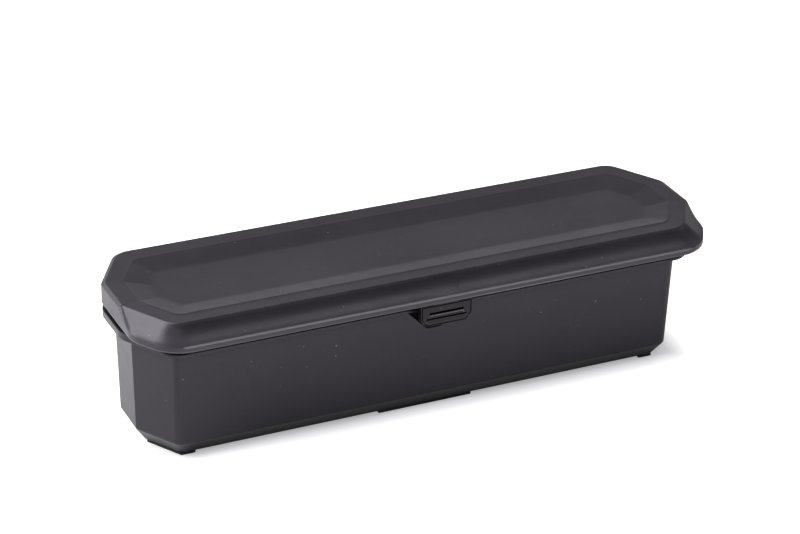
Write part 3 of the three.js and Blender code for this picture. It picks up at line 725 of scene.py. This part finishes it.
def tub_level(inset, z, inner):
    rounds = (TUB_INNER_ROUND, TUB_INNER_END_ROUND) if inner else (TUB_FRONT_ROUND, TUB_END_ROUND)
    return even_level(inset, z, *rounds)


def tub_wall_level(z, skin):
    inset = MOUTH_INSET + TUB_SLOPE * (FLANGE_TOP - min(z, FLANGE_TOP)) + skin
    return tub_level(inset, z, skin > 0)


def flange_level(out, z):
    return even_level(-out, z, FLANGE_FRONT_ROUND, FLANGE_END_ROUND)


def lip_chamfer(lvl):
    """A level's outline, taken down along the front to the chamfer on the flange's upper edge."""
    past = lvl[1] - PLAIN_WALL_OUT + LIP_CHAMFER_IN
    limit = FLANGE_TOP - max(0.0, past) * LIP_CHAMFER_DOWN / LIP_CHAMFER_IN
    made = []
    for x, y, z in outline(lvl):
        share = ease((-LEDGE_RISE_START - y) / LEDGE_RISE_RUN) if past > 0 else 0.0
        made.append((x, y, z + min(0.0, limit - z) * share))
    return made


def tub_shell():
    """The tub's skin, from the floor up inside, over the upstand, round the flange and down to the base."""
    bevel_top = FOOT_HEIGHT + BEVEL_UP
    slant = math.hypot(BEVEL_IN, BEVEL_UP)
    base_inset = MOUTH_INSET + WALL_DRAFT + BEVEL_IN
    floor_z = FOOT_HEIGHT + FLOOR_THICKNESS
    inner_base = base_inset + TUB_WALL * BEVEL_UP / slant
    inner_base_z = FOOT_HEIGHT + TUB_WALL * BEVEL_IN / slant
    floor_inset = inner_base - (floor_z - inner_base_z) * BEVEL_IN / BEVEL_UP
    inner_bevel_top = floor_z + (floor_inset - MOUTH_INSET - WALL_DRAFT - TUB_WALL) * BEVEL_UP / BEVEL_IN
    lip_inside = PLAIN_WALL_OUT - FLANGE_LIP
    levels = [
        tub_level(floor_inset + BEVEL_IN, floor_z, True),
        tub_level(floor_inset, floor_z, True),
        tub_wall_level(inner_bevel_top, TUB_WALL),
        tub_wall_level(TUB_TOP, TUB_WALL),
        tub_wall_level(TUB_TOP, 0),
        tub_wall_level(FLANGE_TOP, 0),
        flange_level(PLAIN_WALL_OUT - LIP_CHAMFER_IN, FLANGE_TOP),
        flange_level(PLAIN_WALL_OUT, FLANGE_TOP),
        flange_level(PLAIN_WALL_OUT, FLANGE_BOTTOM),
        flange_level(lip_inside, FLANGE_BOTTOM),
        flange_level(lip_inside, FLANGE_UNDER),
        tub_wall_level(FLANGE_UNDER, 0),
        tub_wall_level(bevel_top, 0),
        tub_level(base_inset, FOOT_HEIGHT, False),
        tub_level(base_inset + BEVEL_IN, FOOT_HEIGHT, False),
    ]
    soft = TUB_EDGE_SOFT
    reaches = {1: BEVEL_SOFT, 2: BEVEL_SOFT, 3: soft, 4: soft, 5: soft, 7: FLANGE_SOFT, 8: FLANGE_SOFT / 2}
    reaches.update({9: FLANGE_SOFT / 2, 10: soft, 11: soft, 12: BEVEL_SOFT, 13: BEVEL_SOFT})
    return loft("tub_shell", [lip_chamfer(lvl) for lvl in soften(levels, reaches)])


def scoop_plug(skin, front_y, soft):
    """The scoop's plug, grown by a skin for the bulge that it makes inside the tub."""
    top = FLANGE_UNDER - SCOOP_TOP_GAP
    wall_y = MOUTH_INSET - HALF_WIDTH

    def ring(share):
        y = wall_y + SCOOP_DEPTH * share
        height = between(SCOOP_HEIGHT, SCOOP_BACK_HEIGHT, share)
        top_half = between(SCOOP_TOP_WIDTH, SCOOP_BACK_TOP_WIDTH, share) / 2 + skin
        bottom_half = between(SCOOP_BOTTOM_WIDTH, SCOOP_BACK_BOTTOM_WIDTH, share) / 2 + skin
        low = top - height - skin
        high = top + skin
        return [(-bottom_half, y, low), (bottom_half, y, low), (top_half, y, high), (-top_half, y, high)]

    made = loft("scoop", [ring((front_y - wall_y) / SCOOP_DEPTH), ring((SCOOP_DEPTH + skin) / SCOOP_DEPTH)])
    face_out(made)
    round_edges(made, soft)
    return made


def tub_ears(station):
    wall = REAR_FACE - JOIN_DEPTH
    section = boss_web(HINGE_AXIS, HINGE_RADIUS, (wall, FLANGE_BOTTOM), (wall, FLANGE_TOP - FLANGE_SOFT))
    inner = LID_KNUCKLE_LENGTH / 2 + KNUCKLE_GAP
    outer = inner + TUB_KNUCKLE_LENGTH
    return [
        prism("ear", section, station + inner, station + outer, KNUCKLE_SOFT),
        prism("ear", section, station - outer, station - inner, KNUCKLE_SOFT),
    ]


def keeper():
    wall = -(HALF_WIDTH + PLAIN_WALL_OUT - LIP_CHAMFER_IN - JOIN_DEPTH)
    top = FLANGE_TOP - FLANGE_SOFT
    section = [
        (wall, FLANGE_BOTTOM),
        (wall, top),
        (KEEPER_FRONT + KEEPER_TOP_IN, top),
        (KEEPER_FRONT, FLANGE_BOTTOM + KEEPER_TIP_HEIGHT),
        (KEEPER_FRONT, FLANGE_BOTTOM),
    ]
    return prism("keeper", section, -KEEPER_WIDTH / 2, KEEPER_WIDTH / 2, KNUCKLE_SOFT)


def tub_body():
    wall_y = MOUTH_INSET - HALF_WIDTH
    body = tub_shell()
    combine(body, [scoop_plug(TUB_WALL, wall_y + TUB_WALL / 2, SCOOP_SOFT)], "UNION")
    combine(body, [scoop_plug(0, wall_y - OVERRUN, SCOOP_SOFT)], "DIFFERENCE")
    joined = [keeper()]
    for station in HINGE_STATIONS:
        joined += tub_ears(station)
    combine(body, joined, "UNION")
    combine(body, [hinge_bore(station) for station in HINGE_STATIONS], "DIFFERENCE")
    finish_surface(body)
    return body


# Latch

def tab_form(name, inset, front, back):
    half = LATCH_WIDTH / 2 - inset
    foot = half - LATCH_CORNER_IN + inset / 2
    bottom = LATCH_BOTTOM + inset
    corner = LATCH_BOTTOM + LATCH_CORNER_UP + inset / 2
    top = LATCH_TOP - inset
    ring = [(-foot, bottom), (foot, bottom), (half, corner), (half, top), (-half, top), (-half, corner)]
    form = loft(name, [[(x, y, z) for x, z in ring] for y in (front, back)])
    face_out(form)
    return form


def latch_plate():
    """The tab, with a fine groove just inside its edge."""
    plate = tab_form("latch_tab", 0, LATCH_FRONT, LATCH_BACK)
    round_edges(plate, LATCH_SOFT)
    front = LATCH_FRONT - OVERRUN
    border = tab_form("border", BORDER_INSET, front, LATCH_FRONT + BORDER_DEPTH)
    middle = tab_form("middle", BORDER_INSET + BORDER_GROOVE, front - OVERRUN, LATCH_BACK)
    combine(border, [middle], "DIFFERENCE")
    return combine(plate, [border], "DIFFERENCE")


def latch_body():
    half_grip = GRIP_WIDTH / 2
    half_lip = LIP_WIDTH / 2
    half_eye = EYE_SPAN / 2
    groove_z = LATCH_TOP - GRIP_DROP
    lip_groove_z = LATCH_TOP - LIP_GROOVE_DROP
    floor = LATCH_FRONT + GRIP_GROOVE_DEPTH
    front = LATCH_FRONT - OVERRUN
    window = bar("window", EYE_RADIUS + SPRING_WINDOW, -SPRING_GAP / 2, SPRING_GAP / 2, PIVOT)
    neck = block("neck", (-half_eye, half_eye), (LATCH_FRONT, LATCH_BACK), (LATCH_TOP - JOIN_DEPTH, PIVOT[1]))
    combine(neck, [bar("eye", EYE_RADIUS, -half_eye, half_eye, PIVOT)], "UNION")
    combine(neck, [window], "DIFFERENCE")

    top = FLANGE_BOTTOM - HOOK_GAP
    tip = KEEPER_FRONT + HOOK_BITE
    root = LATCH_BACK - JOIN_DEPTH
    hook = [(root, top), (root, top - HOOK_DEPTH), (tip, top - HOOK_TIP_HEIGHT), (tip, top)]
    body = latch_plate()
    combine(body, [neck, prism("hook", hook, -HOOK_WIDTH / 2, HOOK_WIDTH / 2, LATCH_SOFT / 2)], "UNION")
    for half, low in ((half_grip, groove_z), (half_lip, lip_groove_z)):
        groove = block("groove", (-half, half), (front, floor), (low, low + GRIP_GROOVE))
        combine(body, [groove], "DIFFERENCE")
    rib_place = (LATCH_FRONT, groove_z - GRIP_RIB_RADIUS)
    rib = bar("rib", GRIP_RIB_RADIUS, -half_grip, half_grip, rib_place, LATCH_SOFT / 2)
    lip_half = half_lip - LIP_RADIUS / 2
    lip_place = (LATCH_FRONT + LIP_RADIUS / 2, LATCH_TOP - LIP_DROP)
    lip = bar("lip", LIP_RADIUS, -lip_half, lip_half, lip_place, LATCH_SOFT)
    combine(body, [rib, lip], "UNION")
    pin_room = LATCH_PIN_RADIUS + LATCH_PIN_CLEARANCE
    combine(body, [bar("bore", pin_room, -EYE_SPAN, EYE_SPAN, PIVOT)], "DIFFERENCE")
    finish_surface(body)
    return body


# Materials

# Every plastic: tint, tone, gloss, waves, dust, and painted shade in crevices, where the sheen is dimmed.
# Noise scales are per metre.
COOL = (1.0, 0.95, 1.14)
SHEEN_TINT = (0.95, 0.89, 1.0, 1)
NOISE_MIDDLE = (0.3, 0.7)
CLOUD_SCALE = 14.0
GRAIN_SCALE = 1700.0
GRAIN_STRENGTH = 0.6
TONE_RANGE = (0.75, 1.25)
GLOSS_SCALE = 60.0
GLOSS_SWING = 0.03
WAVE_SCALE = 9.0
WAVE_HEIGHT = 0.6
WAVE_STRENGTH = 0.25
DUST_GREY = 150
DUST_SCALE = 640.0
DUST_RANGE = (0.875, 0.9)
DUST_SHARE = 0.5
CREVICE_SHADE_RANGE = (0.3, 0.9)
CREVICE_SHADE_SHARE = 0.15

# Painted highlights on edges and painted light on the skirt: how wide each line is on both sides of its
# middle, how it fades, and its strength.
HIGHLIGHT_GREY = 114
LEDGE_HIGHLIGHT_HALF = 0.3
LEDGE_HIGHLIGHT_FADE = 0.35
LEDGE_HIGHLIGHT_IN = (1.2, 0.4)
FOOT_HIGHLIGHT_HALF = 0.25
FOOT_HIGHLIGHT_FADE = 0.4
FOOT_HIGHLIGHT_SHARES = (0.3, 0.8)
SKIRT_LIGHT_FADE = 0.3
SKIRT_LIGHT_SHARE = 0.09
BESIDE_LATCH = LATCH_WIDTH * 1.6
BESIDE_LATCH_HALF = LATCH_WIDTH * 0.7
GRIP_HIGHLIGHT_HALF = 0.2
RIB_HIGHLIGHT_FADE = 0.3
LIP_HIGHLIGHT_FADE = 0.6
LIP_HIGHLIGHT_SHARE = 0.3

# Rubber and steel.
RUBBER_GREYS = (16, 26)
RUBBER_TONE_SCALE = 300.0
RUBBER_GLOSS_SCALE = 80.0
RUBBER_GRAIN_SCALE = 1500.0
RUBBER_GRAIN = 0.05
RUBBER_ROUGHNESS = (0.75, 0.9)
STEEL_GREYS = (150, 176)
STEEL_STRETCH = (0.1, 1, 1)
STEEL_LINE_SCALE = 3000.0
STEEL_LINE = 0.01
STEEL_ROUGHNESS = (0.22, 0.38)


def clear_nodes(owner):
    """Empties the node tree of a material or a world."""
    owner.use_nodes = True
    owner.node_tree.nodes.clear()


def feed(material, node, sockets):
    """Gives the inputs of a node a value or another node's socket each."""
    for name, value in sockets.items():
        if isinstance(value, bpy.types.NodeSocket):
            material.node_tree.links.new(value, node.inputs[name])
        else:
            node.inputs[name].default_value = value
    return node


def add_node(material, kind, sockets=None):
    return feed(material, material.node_tree.nodes.new(kind), sockets or {})


def new_material(name):
    material = bpy.data.materials.new(name)
    clear_nodes(material)
    shader = add_node(material, "ShaderNodeBsdfPrincipled")
    add_node(material, "ShaderNodeOutputMaterial", {"Surface": shader.outputs["BSDF"]})
    return material, shader


def noise(material, place, scale, detail=3.0, rough=0.55):
    sockets = {"Vector": place, "Scale": scale, "Detail": detail, "Roughness": rough}
    return add_node(material, "ShaderNodeTexNoise", sockets).outputs["Fac"]


def spread(material, source, source_range, result_range):
    """Maps one range of a value to another."""
    names = ("Value", "From Min", "From Max", "To Min", "To Max")
    sockets = dict(zip(names, (source, *source_range, *result_range)))
    return add_node(material, "ShaderNodeMapRange", sockets).outputs["Result"]


def blend_colours(material, share, low, high):
    """Mixes two colours, each a tuple or another node's socket."""
    node = material.node_tree.nodes.new("ShaderNodeMix")
    node.data_type = "RGBA"
    low_socket, high_socket = [socket for socket in node.inputs if socket.type == "RGBA"]
    for socket, value in ((low_socket, low), (high_socket, high)):
        if isinstance(value, tuple):
            socket.default_value = (*value, 1)
        else:
            material.node_tree.links.new(value, socket)
    material.node_tree.links.new(share, node.inputs["Factor"])
    return [socket for socket in node.outputs if socket.type == "RGBA"][0]


def combine_values(material, operation, *values):
    """One step of arithmetic on sockets and numbers."""
    node = add_node(material, "ShaderNodeMath", dict(enumerate(values)))
    node.operation = operation
    return node.outputs[0]


def product(material, first, second):
    return combine_values(material, "MULTIPLY", first, second)


def bump(material, height, distance, strength, normal=None):
    sockets = {"Height": height, "Distance": distance * MM, "Strength": strength}
    if normal is not None:
        sockets["Normal"] = normal
    return add_node(material, "ShaderNodeBump", sockets).outputs["Normal"]


def object_place(material):
    return add_node(material, "ShaderNodeTexCoord").outputs["Object"]


def linear(grey, tint=(1.0, 1.0, 1.0)):
    """A colour from an 8-bit grey on the sRGB curve, tinted."""
    share = grey / 255
    value = share / 12.92 if share <= 0.04045 else ((share + 0.055) / 1.055) ** 2.4
    return tuple(value * part for part in tint)


def axes_of(material, place):
    """The X, Y and Z of a place."""
    return add_node(material, "ShaderNodeSeparateXYZ", {0: place}).outputs


def highlight_band(material, axis, middle, half, fade):
    """1 near a place on an axis, fading to 0 beyond its half width."""
    away = combine_values(material, "SUBTRACT", axis, middle * MM)
    away = combine_values(material, "ABSOLUTE", away)
    return spread(material, away, (half * MM, (half + fade) * MM), (1, 0))


def lid_painted_highlights(material, place):
    """Painted highlights: the front ledge most, the skirt's lower edge beside the latch, and painted light on
    the skirt a little.
    """
    x, y, z = axes_of(material, place)
    front = spread(material, y, [(reach - FRONT_FACE) * MM for reach in LEDGE_HIGHLIGHT_IN], (0, 1))
    ledge_z = RIM_HEIGHT - FLARE_DROP - LEDGE_SOFT / 2
    ledge = product(material, highlight_band(material, z, ledge_z, LEDGE_HIGHLIGHT_HALF, LEDGE_HIGHLIGHT_FADE), front)
    foot = highlight_band(material, z, SKIRT_BOTTOM + SKIRT_SOFT, FOOT_HIGHLIGHT_HALF, FOOT_HIGHLIGHT_FADE)
    beside = highlight_band(material, x, BESIDE_LATCH, BESIDE_LATCH_HALF, LATCH_WIDTH)
    foot = product(material, foot, spread(material, beside, (0, 1), FOOT_HIGHLIGHT_SHARES))
    half_skirt = (SKIRT_DEPTH - FLARE_DROP) / 2
    skirt = highlight_band(material, z, SKIRT_BOTTOM + half_skirt, half_skirt, SKIRT_LIGHT_FADE)
    skirt = product(material, product(material, skirt, front), SKIRT_LIGHT_SHARE)
    return combine_values(material, "MAXIMUM", combine_values(material, "MAXIMUM", ledge, foot), skirt)


def latch_painted_highlights(material, place):
    """Painted highlights on the rib and the lip."""
    x, _, z = axes_of(material, place)
    # Painted highlight along the rib's ridge, and a weaker one along the lip.
    rib = highlight_band(material, z, LATCH_TOP - GRIP_DROP - GRIP_RIB_RADIUS, GRIP_HIGHLIGHT_HALF, RIB_HIGHLIGHT_FADE)
    rib = product(material, rib, highlight_band(material, x, 0.0, GRIP_WIDTH / 2, RIB_HIGHLIGHT_FADE))
    lip = highlight_band(material, z, LATCH_TOP - LIP_DROP + LIP_RADIUS / 2, GRIP_HIGHLIGHT_HALF, LIP_HIGHLIGHT_FADE)
    return combine_values(material, "MAXIMUM", rib, product(material, lip, LIP_HIGHLIGHT_SHARE))


def moulded_plastic(name, greys, roughness, grain, specular, crevice_shade_reach, painted_highlight_mask=None):
    """Spark-eroded plastic: fine grain, clouds of tone and gloss, dust, painted highlights, and painted shade
    in crevices.
    """
    material, shader = new_material(name)
    place = object_place(material)
    fine = noise(material, place, GRAIN_SCALE, detail=2.0)
    tone = combine_values(material, "ADD", noise(material, place, CLOUD_SCALE), fine)
    tone = spread(material, tone, TONE_RANGE, (0, 1))
    colour = blend_colours(material, tone, *[linear(grey, COOL) for grey in greys])
    dust = spread(material, noise(material, place, DUST_SCALE, detail=0.0), DUST_RANGE, (0, DUST_SHARE))
    colour = blend_colours(material, dust, colour, linear(DUST_GREY))
    # Painted highlights: a lighter grey along the edges where light catches them.
    if painted_highlight_mask:
        colour = blend_colours(material, painted_highlight_mask(material, place), colour, linear(HIGHLIGHT_GREY))
    swing = (roughness - GLOSS_SWING, roughness + GLOSS_SWING)
    waves = noise(material, place, WAVE_SCALE, detail=0.0)
    waves = bump(material, waves, WAVE_HEIGHT, WAVE_STRENGTH)
    # Painted shade: the sheen dims where the surface is hidden, in crevices and gaps.
    hidden = add_node(material, "ShaderNodeAmbientOcclusion", {"Distance": crevice_shade_reach * MM})
    hidden.samples = 8
    shine = (CREVICE_SHADE_SHARE * specular, specular)
    feed(material, shader, {
        "Base Color": colour,
        "Roughness": spread(material, noise(material, place, GLOSS_SCALE), NOISE_MIDDLE, swing),
        "Normal": bump(material, fine, grain, GRAIN_STRENGTH, waves),
        "Specular IOR Level": spread(material, hidden.outputs["AO"], CREVICE_SHADE_RANGE, shine),
        "Specular Tint": SHEEN_TINT,
    })
    return material


def rubber(name):
    material, shader = new_material(name)
    place = object_place(material)
    tone = noise(material, place, RUBBER_TONE_SCALE)
    gloss = noise(material, place, RUBBER_GLOSS_SCALE)
    grain = noise(material, place, RUBBER_GRAIN_SCALE)
    feed(material, shader, {
        "Base Color": blend_colours(material, tone, *[linear(grey) for grey in RUBBER_GREYS]),
        "Roughness": spread(material, gloss, NOISE_MIDDLE, RUBBER_ROUGHNESS),
        "Normal": bump(material, grain, RUBBER_GRAIN, 0.5),
    })
    return material


def steel(name):
    """Drawn steel, with fine lines along X."""
    material, shader = new_material(name)
    sockets = {"Vector": object_place(material), "Scale": STEEL_STRETCH}
    stretched = add_node(material, "ShaderNodeMapping", sockets).outputs["Vector"]
    lines = noise(material, stretched, STEEL_LINE_SCALE)
    feed(material, shader, {
        "Base Color": blend_colours(material, lines, *[linear(grey) for grey in STEEL_GREYS]),
        "Roughness": spread(material, lines, NOISE_MIDDLE, STEEL_ROUGHNESS),
        "Normal": bump(material, lines, STEEL_LINE, 0.4),
        "Metallic": 1.0,
    })
    return material


lid_finish = moulded_plastic("lid plastic", greys=(18, 38), roughness=0.36, grain=0.1, specular=0.54,
                             crevice_shade_reach=4.0, painted_highlight_mask=lid_painted_highlights)
tub_finish = moulded_plastic("tub plastic", greys=(15, 29), roughness=0.3, grain=0.04, specular=0.43,
                             crevice_shade_reach=12.0)
latch_finish = moulded_plastic("latch plastic", greys=(8, 12), roughness=0.24, grain=0.01, specular=0.3,
                               crevice_shade_reach=2.0, painted_highlight_mask=latch_painted_highlights)
rubber_finish = rubber("foot rubber")
steel_finish = steel("pin steel")


# Pieces

FOOT_SOFT = 0.3
HINGE_AND_LATCH_METAL = ("hinge_pin_left", "hinge_pin_right", "latch_pin", "latch_spring")


def dress(piece, finish):
    piece.data.materials.clear()
    piece.data.materials.append(finish)


def replace_node(piece, node, body, finish):
    dress(piece, finish)
    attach(piece, body)
    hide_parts(node)


def keep_node(node, finish, soft=0.0):
    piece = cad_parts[node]
    dress(piece, finish)
    for face in piece.data.polygons:
        face.use_smooth = True
    if soft:
        rounding = piece.modifiers.new("Rounding", "BEVEL")
        rounding.width = soft * MM
        rounding.segments = 2
        rounding.limit_method = "ANGLE"
    weighted = piece.modifiers.new("Weighted normals", "WEIGHTED_NORMAL")
    weighted.keep_sharp = True


replace_node(lid_body(), "lid", "lid", lid_finish)
replace_node(tub_body(), "tub", "tub", tub_finish)
replace_node(latch_body(), "latch", "latch", latch_finish)
for foot in [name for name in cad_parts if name.startswith("foot_")]:
    keep_node(foot, rubber_finish, FOOT_SOFT)
for metal in HINGE_AND_LATCH_METAL:
    keep_node(metal, steel_finish)


# Studio

# Camera, in metres.
EYE = Vector((-0.5973, -1.2412, 0.7768))
TARGET = Vector((-0.00874, -0.01214, 0.08238))
ROLL = math.radians(1.49)
LENS = 118.3
SENSOR = 36.0

# Soft lamps: name, direction from the target, distance, width and height in metres, and power.
LAMPS = [
    ("key", (-0.66, 0.19, 0.73), 1.3, 1.05, 1.05, 16),
    ("back", (-0.48, 0.62, 0.62), 1.4, 1.0, 0.8, 5),
    ("side", (-0.66, -0.35, 0.66), 1.4, 0.9, 0.9, 3),
    ("low", (-0.87, 0.25, 0.4), 1.4, 1.0, 0.7, 2),
    ("over", (0.35, 0.13, 0.92), 1.4, 0.65, 0.65, 2.2),
]

# Room: its tint, and the direction along which its light falls from the first strength to the second.
ROOM_TINT = (0.985, 0.955, 1.03, 1)
ROOM_UP = (0.3, -0.5, 1)
ROOM_UP_RANGE = (-0.3, 0.3)
ROOM_LIGHTS = (0.8, 0.345)

# Floor: paper, its glow away from the box, which the box reflects as painted light, and its lift round the
# box, low near it as a painted contact shadow, with reaches in millimetres.
FLOOR_REACH = 6000
PAPER = (0.90, 0.905, 0.925, 1)
FAR_DIRECTION = (-0.6, 0.8, 0)
FAR_RANGE = (0, 800)
FAR_GLOW = 0.42
FRONT_RANGE = (HALF_WIDTH - 30, HALF_WIDTH + 120)
FRONT_GLOW = 0.52
FRONT_SIDE_DIRECTION = (0.9, -0.44, 0)
FRONT_SIDE_RANGE = (-145, -95)
PAINTED_SHADOW_RANGE = (0, 16)
PAINTED_SHADOW_LIFTS = (0.3, 0.8)


def add_camera():
    data = bpy.data.cameras.new("camera")
    data.lens = LENS
    data.sensor_width = SENSOR
    data.clip_start = 0.05
    data.clip_end = 50
    camera = bpy.data.objects.new("camera", data)
    bpy.context.scene.collection.objects.link(camera)
    ahead = (TARGET - EYE).normalized()
    right = ahead.cross(UP).normalized()
    above = right.cross(ahead)
    turned = right * math.cos(ROLL) + above * math.sin(ROLL)
    above = turned.cross(ahead)
    camera.matrix_world = Matrix((
        (turned.x, above.x, -ahead.x, EYE.x),
        (turned.y, above.y, -ahead.y, EYE.y),
        (turned.z, above.z, -ahead.z, EYE.z),
        (0, 0, 0, 1),
    ))
    bpy.context.scene.camera = camera


def add_softbox(name, direction, distance, width, height, power):
    """A soft lamp that faces the middle of the object."""
    data = bpy.data.lights.new(name, "AREA")
    data.shape = "RECTANGLE"
    data.size = width
    data.size_y = height
    data.energy = power
    lamp = bpy.data.objects.new(name, data)
    bpy.context.scene.collection.objects.link(lamp)
    away = Vector(direction).normalized()
    lamp.location = TARGET + away * distance
    lamp.rotation_mode = "QUATERNION"
    lamp.rotation_quaternion = away.to_track_quat("Z", "Y")


def vector_step(material, operation, source, value=(0, 0, 0)):
    node = add_node(material, "ShaderNodeVectorMath", {0: source, 1: value})
    node.operation = operation
    return node.outputs


def along(material, place, direction):
    return vector_step(material, "DOT_PRODUCT", place, direction)["Value"]


def seen_directly(material, path):
    """1 on camera, glossy and transmission rays, and 0 on diffuse ones."""
    total = path["Is Camera Ray"]
    for other in ("Is Glossy Ray", "Is Transmission Ray"):
        total = combine_values(material, "ADD", total, path[other])
        total.node.use_clamp = True
    return total


def add_world():
    """A room that is brighter near its horizon at the back and the left."""
    world = bpy.data.worlds.new("studio")
    clear_nodes(world)
    up = along(world, add_node(world, "ShaderNodeTexCoord").outputs["Generated"], ROOM_UP)
    strength = spread(world, up, ROOM_UP_RANGE, ROOM_LIGHTS)
    around = add_node(world, "ShaderNodeBackground", {"Color": ROOM_TINT, "Strength": strength})
    add_node(world, "ShaderNodeOutputWorld", {"Surface": around.outputs[0]})
    bpy.context.scene.world = world


def floor_light(material, place, path):
    """Glow towards the back, the left and the front, which the box reflects as painted light, and a lift that
    fades where the box stands near, painting shade over the paper's real shadow there.
    """
    def glow(direction, reaches, strength):
        reaches = [reach * MM for reach in reaches]
        return spread(material, along(material, place, direction), reaches, (0, strength))

    # Painted light: the floor glows on camera and glossy rays, and the box reflects it.
    front = glow((0, -1, 0), FRONT_RANGE, FRONT_GLOW)
    front = product(material, front, glow(FRONT_SIDE_DIRECTION, FRONT_SIDE_RANGE, 1))
    far = combine_values(material, "ADD", glow(FAR_DIRECTION, FAR_RANGE, FAR_GLOW), front)
    base = MOUTH_INSET + WALL_DRAFT + BEVEL_IN
    half = ((HALF_LENGTH - base) * MM, (HALF_WIDTH - base) * MM, 0)
    out = vector_step(material, "SUBTRACT", vector_step(material, "ABSOLUTE", place)[0], half)[0]
    away = vector_step(material, "LENGTH", vector_step(material, "MAXIMUM", out)[0])["Value"]
    # Painted contact shadow: on camera rays the lift is lower near the box, on top of the paper's real
    # shadow.
    near = spread(material, away, [reach * MM for reach in PAINTED_SHADOW_RANGE], PAINTED_SHADOW_LIFTS)
    near = product(material, near, path["Is Camera Ray"])
    return combine_values(material, "ADD", product(material, far, seen_directly(material, path)), near)


def add_floor():
    corners = [(-1, -1), (1, -1), (1, 1), (-1, 1)]
    floor = new_object("floor", [(x * FLOOR_REACH, y * FLOOR_REACH, 0) for x, y in corners], [(0, 1, 2, 3)])
    material = bpy.data.materials.new("floor")
    clear_nodes(material)
    place = add_node(material, "ShaderNodeNewGeometry").outputs["Position"]
    path = add_node(material, "ShaderNodeLightPath").outputs
    paper = add_node(material, "ShaderNodeBsdfDiffuse", {"Color": PAPER})
    light = add_node(material, "ShaderNodeEmission", {"Strength": floor_light(material, place, path)})
    both = add_node(material, "ShaderNodeAddShader", {0: paper.outputs[0], 1: light.outputs[0]})
    add_node(material, "ShaderNodeOutputMaterial", {"Surface": both.outputs[0]})
    floor.data.materials.append(material)


add_camera()
add_world()
add_floor()
for lamp in LAMPS:
    add_softbox(*lamp)
bpy.context.scene.view_settings.view_transform = "Standard"

bpy.context.view_layer.update()
